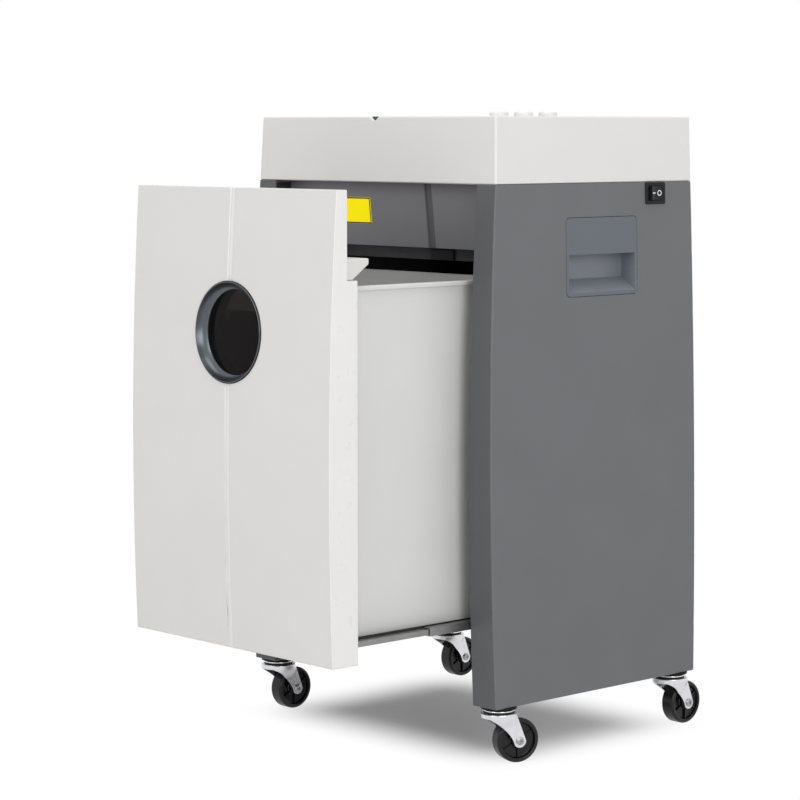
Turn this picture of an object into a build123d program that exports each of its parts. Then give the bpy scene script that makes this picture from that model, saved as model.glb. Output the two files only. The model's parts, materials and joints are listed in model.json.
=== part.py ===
from build123d import *
import os
from math import atan2, cos, degrees, hypot, pi, radians, sin, sqrt

os.makedirs("parts", exist_ok=True)

# A free-standing shredder for paper and storage discs, on four casters, in millimetres.
# The origin lies on the floor under the middle of the cabinet. The front faces -Y and +Z is up.
# The drawer is modelled pulled out by drawer_out, which is how it stands at rest.

# Cabinet
cabinet_width_top = 393.0
cabinet_width_bottom = 408.0
cabinet_depth = 316.5
panel_bottom = 64.0
panel_height = 570.0
cover_height = 73.5
front_forward = 4.1
front_bow = 9.3
side_bow = 2.0
rear_backward = 6.0
rear_bow = 1.7
panel_thick = 28.5
edge_round = 2.0
fit_gap = 0.3

# Side panels and their steel liners
panel_wall = 3.0
liner_thick = 1.5
liner_flange = 15.0
rib_thick = 2.5
rib_shares = (0.25, 0.5, 0.75, 0.96)
boss_radius = 14.0
boss_height = 42.0

# Sheets of the frame
sheet_thick = 1.5
sheet_fold = 18.0
base_rise = 80.0
base_front_inset = 34.0
rear_inset = 8.0
rear_panel_thick = 1.5
vent_length = 62.0
vent_width = 4.0
vent_pitch = 11.0
vent_rows = 8
vent_column = 42.0
vent_drop = 116.0
screw_head_radius = 3.4
screw_head_height = 1.8
screw_radius = 1.6
rear_screw_shares = (0.06, 0.35, 0.65, 0.94)

# Finger-grip cups
cup_front = -50.0
cup_back = 65.0
cup_drop = 38.0
cup_height = 87.0
cup_flap_height = 41.0
cup_plate = 2.5
cup_wall = 2.0
cup_depth = 23.0
cup_corner = 6.0
cup_rim = 4.0
cup_rise = 15.0
cup_behind_flap = 18.0

# Mains rocker switch
switch_inset = 62.5
switch_drop = 12.8
switch_length = 33.0
switch_height = 25.2
switch_bezel = 2.0
switch_body_length = 28.6
switch_body_height = 19.0
switch_body_depth = 14.0
switch_wall = 1.4
rocker_length = 24.0
rocker_height = 16.0
rocker_pivot_depth = 3.0
rocker_tilt = 9.0
rocker_radius = 13.0
rocker_end_gap = 1.0
rocker_pin = 1.5

# Top cover, feed lid and buttons
cover_taper = 2.8
cover_wall = 3.0
cover_round = 2.5
shadow_gap = 0.8
shadow_depth = 1.6
lid_side_margin = 13.0
lid_front_inset = 8.0
lid_length = 214.0
lid_thick = 5.0
lid_seat = 0.3
lid_gap = 0.5
lid_rear_gap = 0.8
lid_skin = 1.8
lid_rib = 2.0
lid_rib_shares = (-0.5, 0.0, 0.5)
lid_pin = 1.5
lid_pin_length = 5.0
lid_boss = 5.0
pin_play = 0.15
deck_skin = 3.0
notch_width = 14.0
notch_height = 4.5
slot_overreach = 3.0
slot_width = 14.0
button_inset = 27.0
button_first_inset = 31.5
button_pitch = 38.0
button_count = 3
button_radius = 10.5
button_proud = 4.8
button_travel = 2.5
button_flange = 1.6
button_flange_height = 2.0
button_stem = 3.0
button_play = 0.4
button_board_thick = 1.6
button_switch_side = 12.0
button_switch_height = 7.0

# Head fascia and its rail
fascia_inset = 23.0
fascia_lean = 8.0
fascia_drop = 2.7
fascia_thick = 2.5
fascia_return_length = 23.0
groove_x = 65.0
groove_width = 7.0
groove_depth = 1.2
rail_overlap = 2.0
rail_thick = 4.0
rail_height = 14.3
interlock_low_x = 43.0
interlock_high_x = 80.0
interlock_thick = 2.6
notice_width = 75.0
notice_height = 30.0
notice_thick = 0.8
notice_right = -31.0
notice_drop = 33.0

# Head deck and cutting unit
head_height = 70.0
deck_gap = 0.5
chute_inset = 6.0
chute_front_reach = 56.0
chute_back_reach = 54.0
cutter_y = -20.0
cutter_rise = 46.0
shaft_distance = 50.0
disc_radius = 29.0
disc_thick = 9.7
disc_pitch = 20.0
disc_hooks = 6
hook_depth = 5.5
hook_shares = ((0, 0), (0.22, 0.36), (0.5, 0.72), (1, 0.82))
hub_radius = 20.5
shaft_hex = 11.0
shaft_journal = 10.0
running_play = 0.05
seat_play = 0.1
bush_radius = 14.0
bush_flange_radius = 17.0
bush_flange = 2.0
side_space = 49.3
plate_thick = 8.0
plate_back_reach = 64.0
plate_front_reach = 74.0
plate_height = 86.0
tie_radius = 6.0
tie_inset = 10.0
comb_thick = 4.0
comb_finger = 9.4
comb_height = 36.0
comb_gap = 0.6

# Gears
gear_module = 2.5
shaft_teeth = 20
pinion_teeth = 12
gear_width = 10.0
pinion_width = 12.0
gear_standoff = 10.0
addendum_share = 0.8
dedendum_share = 1.1
gear_backlash = 0.24
tip_width_share = 0.42
root_width_share = 1.42
pinion_direction = 27.0
pinion_shaft = 5.0

# Motor and gearbox
gearbox_gap = 2.0
gearbox_side_gap = 1.8
gearbox_output_radius = 19.0
gearbox_motor_radius = 34.0
motor_inset = 62.0
motor_rise = 6.0
motor_radius = 38.0
motor_length = 150.0
motor_bell_radius = 34.0
motor_bell = 14.0
motor_nose = 8.0
motor_nose_radius = 20.5
cradle_start = 73.0
cradle_width = 30.0
cradle_half = 30.0

# Feed throat
throat_wall = 2.0
throat_gap = 4.0
throat_top_width = 18.0
throat_bottom_width = 9.0
throat_bottom_inset = 8.0
throat_flange = 8.0

# Control board
board_plate_gap = 6.0
board_side_gap = 7.3
board_front = -60.0
board_back = 110.0
board_height = 12.0
board_thick = 1.6
post_radius = 3.0
board_box_shares = ((0.1, 0.06, 0.8, 0.2, 0.75), (0.12, 0.52, 0.34, 0.12, 0.4), (0.56, 0.52, 0.34, 0.12, 0.4),
                    (0.3, 0.8, 0.5, 0.1, 0.3))
board_can_shares = ((0.3, 0.36), (0.72, 0.36))

# Mains inlet
inlet_inset = 51.3
inlet_drop = 51.0
inlet_flange = (50.0, 23.0)
inlet_mouth = (25.0, 17.5)
inlet_body = (29.0, 21.0)
inlet_flange_thick = 2.5
inlet_depth = 20.0
inlet_recess = 16.0
inlet_pin = (2.0, 6.0)
inlet_pin_pitch = 7.0

# Drawer
drawer_out = 201.0
front_side_gap = 1.0
front_rise = 67.5
front_top_gap = 2.8
front_wall = 3.0
upper_thick = 14.6
lower_thick = 29.0
step_drop = 97.0
backing_thick = 2.0
crease_width = 8.0
crease_depth = 1.4
ledge_gap = 1.8
ledge_reach = 48.4
ledge_tip_thick = 6.3
ledge_foot_reach = 25.0
ledge_side_gap = 4.8
window_drop = 158.0
window_radius = 55.5
window_barrel = 53.6
window_inner = 46.5
window_depth = 11.0
window_proud = 1.5
window_lip = 1.5
window_hollow = 1.0
window_seat = 0.1
lens_thick = 3.0
backing_hole = 51.0

# Bin and tray
bin_front_gap = 5.0
bin_rear_gap = 24.0
bin_side_gap = 19.3
bin_headroom = 7.0
bin_wall = 2.2
bin_corner = 18.0
bin_draft = 2.0
bin_lip = 4.0
bin_lip_height = 5.0
bin_notch_height = 34.0
bin_notch_half = 88.0
bin_notch_slant = 26.0
runner_space = 13.0
tray_clearance = 2.0
tray_depth = 11.5
tray_rear_gap = 18.0
tray_thick = 1.2

# Runners
runner_height = 12.0
runner_thick = 1.2
runner_gap = 0.3
runner_front_gap = 4.0
runner_rear_gap = 9.0
runner_inner_rear_gap = 19.0
runner_clearance = 1.7

# Casters
caster_side_inset = 17.0
caster_end_inset = 17.25
wheel_radius = 25.0
wheel_width = 18.0
wheel_trail = 20.0
wheel_dish = 4.0
wheel_rim = 5.0
wheel_hub = 8.0
wheel_ribs = 6
wheel_rib_thick = 1.4
wheel_rib_drop = 1.6
axle_radius = 4.0
axle_head = 6.0
axle_head_height = 3.0
fork_leg = 2.2
fork_gap = 1.2
fork_eye = 7.5
fork_apron = 3.0
fork_hollow = 4.0
fork_eye_turn = 215.0
crown_radius = 20.5
crown_height = 4.5
crown_drop = 9.5
race_radius = 17.5
dust_ring = 20.0
dust_ring_height = 2.6
stem_radius = 5.0
stem_height = 36.0
front_right_turn = -20.0

# Sizes that follow from the ones above
panel_top = panel_bottom + panel_height
cover_top = panel_top + cover_height
half_top = cabinet_width_top / 2
half_bottom = cabinet_width_bottom / 2
bay_half = min(half_top, half_bottom) - panel_thick
front_top_y = -cabinet_depth / 2
rear_y = cabinet_depth / 2
rear_panel_y = rear_y - rear_inset
base_height = panel_bottom + base_rise
base_front = front_top_y + base_front_inset
vent_top = panel_top - vent_drop
cup_high = panel_top - cup_drop
cup_low = cup_high - cup_height
cup_flap_low = cup_high - cup_flap_height
switch_y = rear_y - switch_inset
switch_z = panel_top - switch_drop
deck_top = panel_top - head_height
cutter_z = deck_top + cutter_rise
plate_inner = bay_half - side_space - plate_thick
plate_front = cutter_y - plate_front_reach
plate_back = cutter_y + plate_back_reach
plate_top = deck_top + plate_height
comb_low = cutter_z - comb_height / 2
comb_high = cutter_z + comb_height / 2
chute_half = plate_inner - chute_inset
chute_front = cutter_y - chute_front_reach
chute_back = cutter_y + chute_back_reach
disc_count_front = 2 * int((plate_inner - disc_thick / 2) / disc_pitch) + 1
gear_near = -plate_inner - plate_thick - gear_standoff
gearbox_inner = gear_near - (gear_width + pinion_width) / 2 - gearbox_gap
gearbox_outer = gearbox_side_gap - bay_half
motor_y = rear_y - motor_inset
motor_z = cutter_z + motor_rise
cradle_low_x = gearbox_inner + cradle_start
cradle_high_x = cradle_low_x + cradle_width
board_low_x = plate_inner + plate_thick + board_plate_gap
board_high_x = bay_half - board_side_gap
inlet_x = bay_half - inlet_inset
inlet_z = panel_top - inlet_drop
fascia_top_y = front_top_y + fascia_inset
fascia_bottom_y = fascia_top_y + fascia_lean
fascia_bottom = deck_top - fascia_drop
fascia_return = fascia_bottom_y + fascia_return_length
deck_front = fascia_return + deck_gap
rail_front = fascia_return - rail_overlap
rail_back = rail_front + rail_thick
rail_bottom = fascia_bottom - rail_height
notice_middle = panel_top - notice_drop
throat_bottom = cutter_z + disc_radius + throat_gap
throat_bottom_half = plate_inner - throat_bottom_inset
slot_half = plate_inner + slot_overreach
lid_half = slot_half + lid_side_margin
lid_front = front_top_y + lid_front_inset
lid_axis_y = lid_front + lid_length
button_x = half_top - button_inset
button_first_y = front_top_y + button_first_inset
front_half = bay_half - front_side_gap
front_low = panel_bottom + front_rise
front_high = panel_top - front_top_gap
upper_back = front_top_y + upper_thick
lower_back = front_top_y + lower_thick
step_height = panel_top - step_drop
ledge_top = fascia_bottom - ledge_gap
ledge_tip = front_top_y + ledge_reach
ledge_tip_low = ledge_top - ledge_tip_thick
ledge_foot = front_top_y + ledge_foot_reach
ledge_half = bay_half - ledge_side_gap
window_height = panel_top - window_drop
bin_half = bay_half - bin_side_gap
bin_top = step_height - bin_headroom
bin_front = lower_back + bin_front_gap
bin_back = rear_panel_y - bin_rear_gap
tray_half = bay_half - runner_space
tray_low = base_height + sheet_thick + tray_clearance
tray_rim = tray_low + tray_depth
tray_back = rear_panel_y - tray_rear_gap
runner_low = base_height + sheet_thick + runner_clearance
runner_front = lower_back + runner_front_gap
runner_back = rear_panel_y - runner_rear_gap
runner_inner_back = rear_panel_y - runner_inner_rear_gap
caster_x = half_bottom - caster_side_inset
caster_y = rear_y - caster_end_inset
crown_low = panel_bottom - crown_drop
front_shaft_y = cutter_y - shaft_distance / 2
rear_shaft_y = cutter_y + shaft_distance / 2
gear_radius = gear_module * shaft_teeth / 2
pinion_radius = gear_module * pinion_teeth / 2
pinion_distance = gear_radius + pinion_radius
pinion_y = rear_shaft_y + pinion_distance * cos(radians(pinion_direction))
pinion_z = cutter_z + pinion_distance * sin(radians(pinion_direction))
lid_axis_z = cover_top - lid_thick / 2
well_floor = cover_top - lid_thick - lid_seat
comb_reach = hub_radius + comb_gap
overrun = cabinet_depth


def save(name, *pieces):
    """Writes one sub-part, made of one solid or of several separate ones."""
    solids = [solid for piece in pieces for solid in piece.solids()]
    export_step(solids[0] if len(solids) == 1 else Compound(solids), f"parts/{name}.step")


def block(low, high):
    """A box between its lowest and its highest corner."""
    size = [b - a for a, b in zip(low, high)]
    return Pos(*low) * Box(*size, align=(Align.MIN, Align.MIN, Align.MIN))


def rod_x(y, z, radius, start, end):
    """A round bar along X."""
    return Pos((start + end) / 2, y, z) * Rot(0, 90, 0) * Cylinder(radius, end - start)


def rod_y(x, z, radius, start, end):
    """A round bar along Y."""
    return Pos(x, (start + end) / 2, z) * Rot(90, 0, 0) * Cylinder(radius, end - start)


def rod_z(x, y, radius, low, high):
    """A round bar along Z."""
    return Pos(x, y, (low + high) / 2) * Cylinder(radius, high - low)


def across(face, start, end):
    """A face drawn in Y and Z, made solid from one X to another."""
    return Pos(start, 0, 0) * extrude(Plane.YZ * face, amount=end - start, dir=(1, 0, 0))


def mirrored(piece):
    """The same piece for the left side."""
    return mirror(piece, about=Plane.YZ)


def front_line(z):
    """The Y of the cabinet's bowed front edge at height z."""
    share = (z - panel_bottom) / panel_height
    return front_top_y - front_forward * (1 - share) - 4 * front_bow * share * (1 - share)


def rear_line(z):
    """The Y of the side panels' bowed rear edge at height z."""
    share = (z - panel_bottom) / panel_height
    return rear_y + rear_backward * (1 - share) + 4 * rear_bow * share * (1 - share)


def outer_half(z):
    """Half the cabinet's width at height z, between its leaning and slightly crowned outer faces."""
    share = (z - panel_bottom) / panel_height
    return half_bottom + (half_top - half_bottom) * share + 4 * side_bow * share * (1 - share)


def lean_at(z):
    """How far the outer face leans from the upright at height z, in degrees."""
    share = (z - panel_bottom) / panel_height
    return degrees(atan2(half_bottom - half_top - 4 * side_bow * (1 - 2 * share), panel_height))


def bowed_edge(set_back, low, high):
    """The front edge as an arc, set back from the cabinet's own."""
    points = [(front_line(z) + set_back, z) for z in (low, (low + high) / 2, high)]
    return ThreePointArc(*points)


def bowed_face(set_back, low, high, back):
    """The cabinet seen from the side, with its bowed front edge and a straight back."""
    edge = bowed_edge(set_back, low, high)
    return make_face([edge, Polyline(edge @ 1, (back, high), (back, low), edge @ 0)])


def panel_face(wall):
    """A side panel seen from the side, with its bowed front and rear edges, less a wall all round."""
    low, high = panel_bottom + wall, panel_top - wall
    front = bowed_edge(wall, low, high)
    rear = ThreePointArc(*[(rear_line(z) - wall, z) for z in (high, (low + high) / 2, low)])
    return make_face([front, Line(front @ 1, rear @ 0), rear, Line(rear @ 1, front @ 0)])


def leaning_block(inner, wall):
    """All between the bay and the crowned outer face, less a wall."""
    low, high = panel_bottom + wall, panel_top - wall
    face = ThreePointArc(*[(outer_half(z) - wall, z) for z in (low, (low + high) / 2, high)])
    edge = Polyline(face @ 1, (inner, high), (inner, low), face @ 0)
    return extrude(Plane.XZ * make_face([face, edge]), amount=overrun, both=True)


def on_panel(y, z):
    """A place on the right panel's leaning outer face: X points out, Z up along the face."""
    return Pos(outer_half(z), y, z) * Rot(0, -lean_at(z), 0)


def caster_places():
    """The four caster axes with their names and the turn of each fork."""
    places = []
    for y_name, y_sign in (("front", -1), ("rear", 1)):
        for x_name, x_sign in (("left", -1), ("right", 1)):
            turn = front_right_turn if (y_name, x_name) == ("front", "right") else 0
            places.append((f"{y_name}_{x_name}", x_sign * caster_x, y_sign * caster_y, turn))
    return places


def side_panel():
    """The right side panel: a hollow moulding, open towards the bay, with ribs and caster bosses."""
    outer = across(panel_face(0), 0, overrun) & leaning_block(bay_half, 0)
    outer = fillet(outer.edges().sort_by(SortBy.LENGTH)[-4:].sort_by(Axis.X)[-2:], edge_round)
    inner = across(panel_face(panel_wall), 0, overrun) & leaning_block(bay_half, panel_wall)
    panel = outer - inner
    rib_start = bay_half + liner_thick
    for share in rib_shares:
        height = panel_bottom + share * (cup_low - panel_bottom)
        rib = block((rib_start, -overrun, height), (overrun, overrun, height + rib_thick))
        panel += rib & inner
    for y in (-caster_y, caster_y):
        boss = rod_z(caster_x, y, boss_radius, panel_bottom, panel_bottom + boss_height)
        panel += boss & inner
        panel -= rod_z(caster_x, y, stem_radius + pin_play, 0, panel_bottom + stem_height + fit_gap)
    return panel - cup_cutout()


def cup_middle():
    """Middle of the finger-grip cup's plate on the panel's face."""
    return (cup_front + cup_back) / 2, (cup_low + cup_high) / 2


def cup_cutout():
    """The opening in the panel that takes the cup's plate."""
    length, height = cup_back - cup_front, cup_high - cup_low
    hole = RectangleRounded(length + 2 * fit_gap, height + 2 * fit_gap, cup_corner)
    return on_panel(*cup_middle()) * extrude(Plane.YZ * hole, amount=2 * panel_wall, both=True)


def handle_cup():
    """The finger grip: a plate flush with the panel, with a pocket whose floor rises inwards."""
    length, height = cup_back - cup_front, cup_high - cup_low
    flap_edge = (cup_flap_low - cup_low) - height / 2
    pocket_top = flap_edge + cup_behind_flap
    plate = extrude(Plane.YZ * RectangleRounded(length, height, cup_corner), amount=-cup_plate)
    inner_length, bottom = length - 2 * cup_rim, cup_rim - height / 2
    middle = (bottom + pocket_top) / 2
    pocket = Rectangle(inner_length + 2 * cup_wall, pocket_top - bottom + 2 * cup_wall)
    body = extrude(Plane.YZ * Pos(0, middle) * pocket, amount=-cup_depth)
    side = Polygon((0, bottom), (0, flap_edge), (-cup_plate, flap_edge), (-cup_plate, pocket_top),
                   (cup_wall - cup_depth, pocket_top), (cup_wall - cup_depth, bottom + cup_rise), align=None)
    hollow = extrude(Plane.XZ * side, amount=inner_length / 2, both=True)
    return on_panel(*cup_middle()) * (plate + body - hollow)


def switch_cutout():
    """The opening in the right panel that takes the rocker switch's body."""
    hole = Rectangle(switch_body_length + 2 * fit_gap, switch_body_height + 2 * fit_gap)
    return on_panel(switch_y, switch_z) * extrude(Plane.YZ * hole, amount=2 * panel_wall, both=True)


def switch_housing():
    """The rocker switch's housing: a bezel that lies on the panel and a box behind it."""
    frame = RectangleRounded(switch_length, switch_height, edge_round)
    bezel = extrude(Plane.YZ * frame, amount=switch_bezel)
    bezel = chamfer(bezel.faces().sort_by(Axis.X)[-1].edges(), switch_bezel / 2)
    body = extrude(Plane.YZ * Rectangle(switch_body_length, switch_body_height), amount=-switch_body_depth)
    well = Rectangle(rocker_length + 2 * fit_gap, rocker_height + 2 * fit_gap)
    depth = switch_body_depth - switch_wall
    housing = bezel + body - Pos(-depth, 0, 0) * extrude(Plane.YZ * well, amount=depth + 2 * switch_bezel)
    pivot = Cylinder(rocker_pin + pin_play, switch_body_height - switch_wall)
    housing -= Pos(-rocker_pivot_depth, 0, 0) * pivot
    return on_panel(switch_y, switch_z) * housing


def switch_rocker():
    """The rocker: two shallow flats that meet over the pivot, with a round underside and pins."""
    half = rocker_length / 2 - rocker_end_gap
    proud = switch_bezel + rocker_pivot_depth
    drop = half * sin(radians(rocker_tilt))
    round_part = Circle(rocker_radius)
    flats = Polygon((0, -half), (proud + drop, -half), (proud - drop / 2, 0), (proud + drop, half), (0, half),
                    (-proud, half / 2), (-proud, -half / 2), align=None)
    paddle = extrude(round_part & flats, amount=rocker_height / 2, both=True)
    paddle += Cylinder(rocker_pin, switch_body_height - switch_wall - 2 * fit_gap)
    place = on_panel(switch_y, switch_z) * Pos(-rocker_pivot_depth, 0, 0) * Rot(0, 0, rocker_tilt)
    return place * paddle


def side_frame():
    """The right steel liner: a sheet in the panel's open side, with a folded flange for the rear panel."""
    edge = panel_wall + fit_gap
    sheet = across(panel_face(edge), bay_half, bay_half + liner_thick)
    flange = block((bay_half - liner_flange, rear_panel_y - liner_thick, base_height),
                   (bay_half, rear_panel_y, panel_top - edge))
    return sheet + flange


def rear_screw_places():
    """The rear panel's screw holes, over the liners' flanges."""
    x = bay_half - liner_flange / 2
    span = panel_top - base_height
    return [(side * x, base_height + share * span) for side in (-1, 1) for share in rear_screw_shares]


def rear_panel():
    """The rear sheet with two columns of vent slots and the mains inlet's cut-out."""
    low = (fit_gap - bay_half, rear_panel_y, base_height)
    panel = block(low, (bay_half - fit_gap, rear_panel_y + rear_panel_thick, panel_top))
    for side in (-1, 1):
        for row in range(vent_rows):
            place = Pos(side * vent_column, vent_top - row * vent_pitch)
            slot = Plane.XZ * place * SlotOverall(vent_length, vent_width)
            panel -= Pos(0, rear_panel_y, 0) * extrude(slot, amount=2 * rear_panel_thick, both=True)
    front, back = rear_panel_y - rear_panel_thick, rear_panel_y + 2 * rear_panel_thick
    for x, z in rear_screw_places():
        panel -= rod_y(x, z, screw_radius + pin_play, front, back)
    width, height = inlet_body
    x, z = width / 2 + fit_gap, height / 2 + fit_gap
    return panel - block((inlet_x - x, rear_panel_y - liner_thick, inlet_z - z),
                         (inlet_x + x, rear_panel_y + 2 * rear_panel_thick, inlet_z + z))


def rear_panel_screws():
    """Eight pan-head screws that hold the rear panel to the liners' flanges."""
    seat = rear_panel_y + rear_panel_thick
    screws = []
    for x, z in rear_screw_places():
        head = rod_y(x, z, screw_head_radius, seat, seat + screw_head_height)
        screws.append(head + rod_y(x, z, screw_radius, rear_panel_y, seat))
    return screws


def mains_inlet():
    """The mains inlet: a flange on the rear panel, a shaped mouth and three flat pins."""
    seat = rear_panel_y + rear_panel_thick
    flange = extrude(Plane.XZ * RectangleRounded(*inlet_flange, cup_corner), amount=-inlet_flange_thick)
    body = extrude(Plane.XZ * Rectangle(*inlet_body), amount=inlet_depth)
    width, height = inlet_mouth
    mouth = chamfer(Rectangle(width, height).vertices().sort_by(Axis.Y)[:2], height / 4)
    recess = extrude(Plane.XZ * mouth, amount=inlet_recess + inlet_flange_thick)
    inlet = flange + body - Pos(0, inlet_flange_thick, 0) * recess
    for column, row in ((-1, -1), (0, 1), (1, -1)):
        centre = Pos(column * inlet_pin_pitch, row * inlet_pin_pitch / 3)
        pin = extrude(Plane.XZ * centre * Rectangle(*inlet_pin), amount=inlet_recess)
        inlet += pin
    return Pos(inlet_x, seat, inlet_z) * inlet


def base_plate():
    """The floor of the drawer bay, folded down at both sides and at the front."""
    half = bay_half - fit_gap
    top = base_height + sheet_thick
    plate = block((-half, base_front, base_height), (half, rear_panel_y - liner_thick - fit_gap, top))
    low = top - sheet_fold
    for side in (-1, 1):
        inner, outer = sorted((side * (half - sheet_thick), side * half))
        plate += block((inner, base_front, low), (outer, rear_panel_y - liner_thick - fit_gap, top))
    return plate


def cover_form(wall, low, high):
    """The cover's tapered form, less a wall on every side but the top and bottom."""
    foot, head = half_top - wall, half_top - cover_taper - wall
    wide = [(-foot, low), (foot, low), (head, high), (-head, high)]
    front, back = front_top_y + wall, rear_y - wall
    deep = [(front, low), (back, low), (back, high), (front + cover_taper, high)]
    body = extrude(Plane.XZ * Polygon(*wide, align=None), amount=overrun, both=True)
    return body & across(Polygon(*deep, align=None), -half_top, half_top)


def top_cover():
    """The cover: a tapered shell with a well for the feed lid, button holes and a shadow gap."""
    outer = cover_form(0, panel_top, cover_top)
    outer = fillet(outer.edges().filter_by(lambda e: abs((e @ 1 - e @ 0).Z) > cover_height / 2), cover_round)
    outer = fillet(outer.faces().sort_by(Axis.Z)[-1].edges(), edge_round)
    cover = outer - cover_form(cover_wall, panel_top - cover_height, cover_top - cover_wall)
    gap_ring = cover_form(0, panel_top, cover_top) - cover_form(shadow_depth, panel_top, cover_top)
    cover -= gap_ring & block((-overrun, -overrun, panel_top), (overrun, overrun, panel_top + shadow_gap))
    half, front, back = lid_half + lid_gap, lid_front - lid_gap, lid_axis_y + lid_thick / 2 + lid_rear_gap
    well_low = well_floor - deck_skin
    well = block((-half - lid_boss, front - cover_wall, well_low),
                 (half + lid_boss, back + cover_wall, cover_top - cover_wall))
    cover += well & outer
    cover -= block((-half, front, well_floor), (half, back, cover_top + lid_thick))
    cover -= rod_x(lid_axis_y, lid_axis_z, lid_pin + pin_play, -half - lid_pin_length, half + lid_pin_length)
    cover -= block((-slot_half, cutter_y - slot_width / 2, well_low - deck_skin),
                   (slot_half, cutter_y + slot_width / 2, cover_top))
    radius = ((notch_width / 2) ** 2 + notch_height ** 2) / (2 * notch_height)
    cover -= rod_y(0, cover_top + radius - notch_height, radius, -overrun, front + lid_gap)
    low, high = cover_top - 2 * cover_wall, cover_top + cover_wall
    for y in button_places():
        cover -= rod_z(button_x, y, button_radius + button_play, low, high)
    return cover


def button_places():
    """The Y of each push button."""
    return [button_first_y + index * button_pitch for index in range(button_count)]


def feed_lid():
    """The feed lid: a plate hollowed from below with ribs, its rear edge round about the hinge pins."""
    low = cover_top - lid_thick
    lid = block((-lid_half, lid_front, low), (lid_half, lid_axis_y, cover_top))
    hollow = block((lid_skin - lid_half, lid_front + lid_skin, low),
                   (lid_half - lid_skin, lid_axis_y - lid_thick, cover_top - lid_skin))
    for share in lid_rib_shares:
        x = share * lid_half
        hollow -= block((x - lid_rib / 2, lid_front, low), (x + lid_rib / 2, lid_axis_y, cover_top))
    lid -= hollow
    lid += rod_x(lid_axis_y, lid_axis_z, lid_thick / 2, -lid_half, lid_half)
    reach = lid_half + lid_gap + lid_pin_length - fit_gap
    return lid + rod_x(lid_axis_y, lid_axis_z, lid_pin, -reach, reach)


def push_button(y):
    """One round push button: a domed cap, a flange under the cover and a stem down to its switch."""
    under = cover_top - cover_wall
    top = cover_top + button_proud
    cap = rod_z(button_x, y, button_radius, under - button_flange_height, top)
    cap = fillet(cap.faces().sort_by(Axis.Z)[-1].edges(), edge_round)
    flange_top = under - fit_gap
    flange = rod_z(button_x, y, button_radius + button_flange, flange_top - button_flange_height, flange_top)
    stem_low = button_switch_top() + fit_gap
    return cap + flange + rod_z(button_x, y, button_stem, stem_low, flange_top)


def button_switch_top():
    """Top of the switches under the push buttons, with the buttons at rest."""
    return cover_top - cover_wall - fit_gap - button_flange_height - 2 * button_travel


def button_board():
    """The board under the cover with one small switch for each push button, held on posts."""
    top = button_switch_top() - button_switch_height
    half = button_switch_side
    low_y, high_y = button_places()[0] - button_switch_side, button_places()[-1] + button_switch_side
    board = block((button_x - half, low_y, top - button_board_thick), (button_x + half, high_y, top))
    side, switch_top = button_switch_side / 2, top + button_switch_height - button_travel
    for y in button_places():
        board += block((button_x - side, y - side, top), (button_x + side, y + side, switch_top))
    for y in (button_places()[0] + button_pitch / 2, button_places()[-1] - button_pitch / 2):
        board += rod_z(button_x, y, post_radius, top, cover_top - cover_wall)
    return board


def fascia_slope():
    """Lean of the head fascia from the upright, in degrees."""
    return degrees(atan2(fascia_bottom_y - fascia_top_y, panel_top - fit_gap - fascia_bottom))


def head_fascia():
    """The dark panel over the drawer bay: it slopes back and folds in under the head."""
    thick, low, high = fascia_thick, fascia_bottom, panel_top - fit_gap
    top_y, bottom_y = fascia_top_y, fascia_bottom_y
    outline = Polygon((top_y, high), (top_y + thick, high), (bottom_y + thick, low + thick),
                      (fascia_return, low + thick), (fascia_return, low), (bottom_y, low), align=None)
    fascia = across(outline, fit_gap - bay_half, bay_half - fit_gap)
    groove = Polygon((top_y, high), (top_y + groove_depth, high), (bottom_y + groove_depth, low),
                     (bottom_y, low), align=None)
    return fascia - across(groove, groove_x - groove_width / 2, groove_x + groove_width / 2)


def notice_plate():
    """A bare yellow plate on the fascia's sloping front."""
    share = (notice_middle - fascia_bottom) / (panel_top - fit_gap - fascia_bottom)
    y = fascia_bottom_y + (fascia_top_y - fascia_bottom_y) * share
    plate = extrude(Plane.XZ * RectangleRounded(notice_width, notice_height, edge_round), amount=notice_thick)
    return Pos(notice_right - notice_width / 2, y, notice_middle) * Rot(fascia_slope(), 0, 0) * plate


def fascia_rail():
    """The bar under the head's front edge, behind the ledge of the closed drawer."""
    half = bay_half - fit_gap
    return block((-half, rail_front, rail_bottom), (half, rail_back, fascia_bottom))


def interlock_sensor():
    """The flat drawer sensor on the rail."""
    sensor = block((interlock_low_x, rail_front - interlock_thick, rail_bottom),
                   (interlock_high_x, rail_front, fascia_bottom - edge_round))
    return chamfer(sensor.faces().sort_by(Axis.Y)[0].edges(), interlock_thick / 4)


def head_deck():
    """The sheet that carries the cutting unit, folded up at the sides, with the chute opening."""
    half, back, low = bay_half - fit_gap, rear_panel_y - liner_thick - fit_gap, deck_top - sheet_thick
    deck = block((-half, deck_front, low), (half, back, deck_top))
    for side in (-1, 1):
        inner, outer = sorted((side * (half - sheet_thick), side * half))
        deck += block((inner, deck_front, low), (outer, back, low + sheet_fold))
    return deck - block((-chute_half, chute_front, low - sheet_thick),
                        (chute_half, chute_back, deck_top + sheet_thick))


def cutter_plate(side):
    """A bearing plate at one end of the cutters, bored for the bushes and the tie rods."""
    inner, outer = sorted((side * plate_inner, side * (plate_inner + plate_thick)))
    plate = block((inner, plate_front, deck_top), (outer, plate_back, plate_top))
    plate = fillet(plate.edges().filter_by(Axis.X).sort_by(Axis.Z)[-2:], tie_radius)
    for y in (front_shaft_y, rear_shaft_y):
        plate -= rod_x(y, cutter_z, bush_radius + seat_play, inner - overrun, outer + overrun)
    for y, z in tie_places():
        plate -= rod_x(y, z, tie_radius / 2 + seat_play, inner - overrun, outer + overrun)
    return plate


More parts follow.
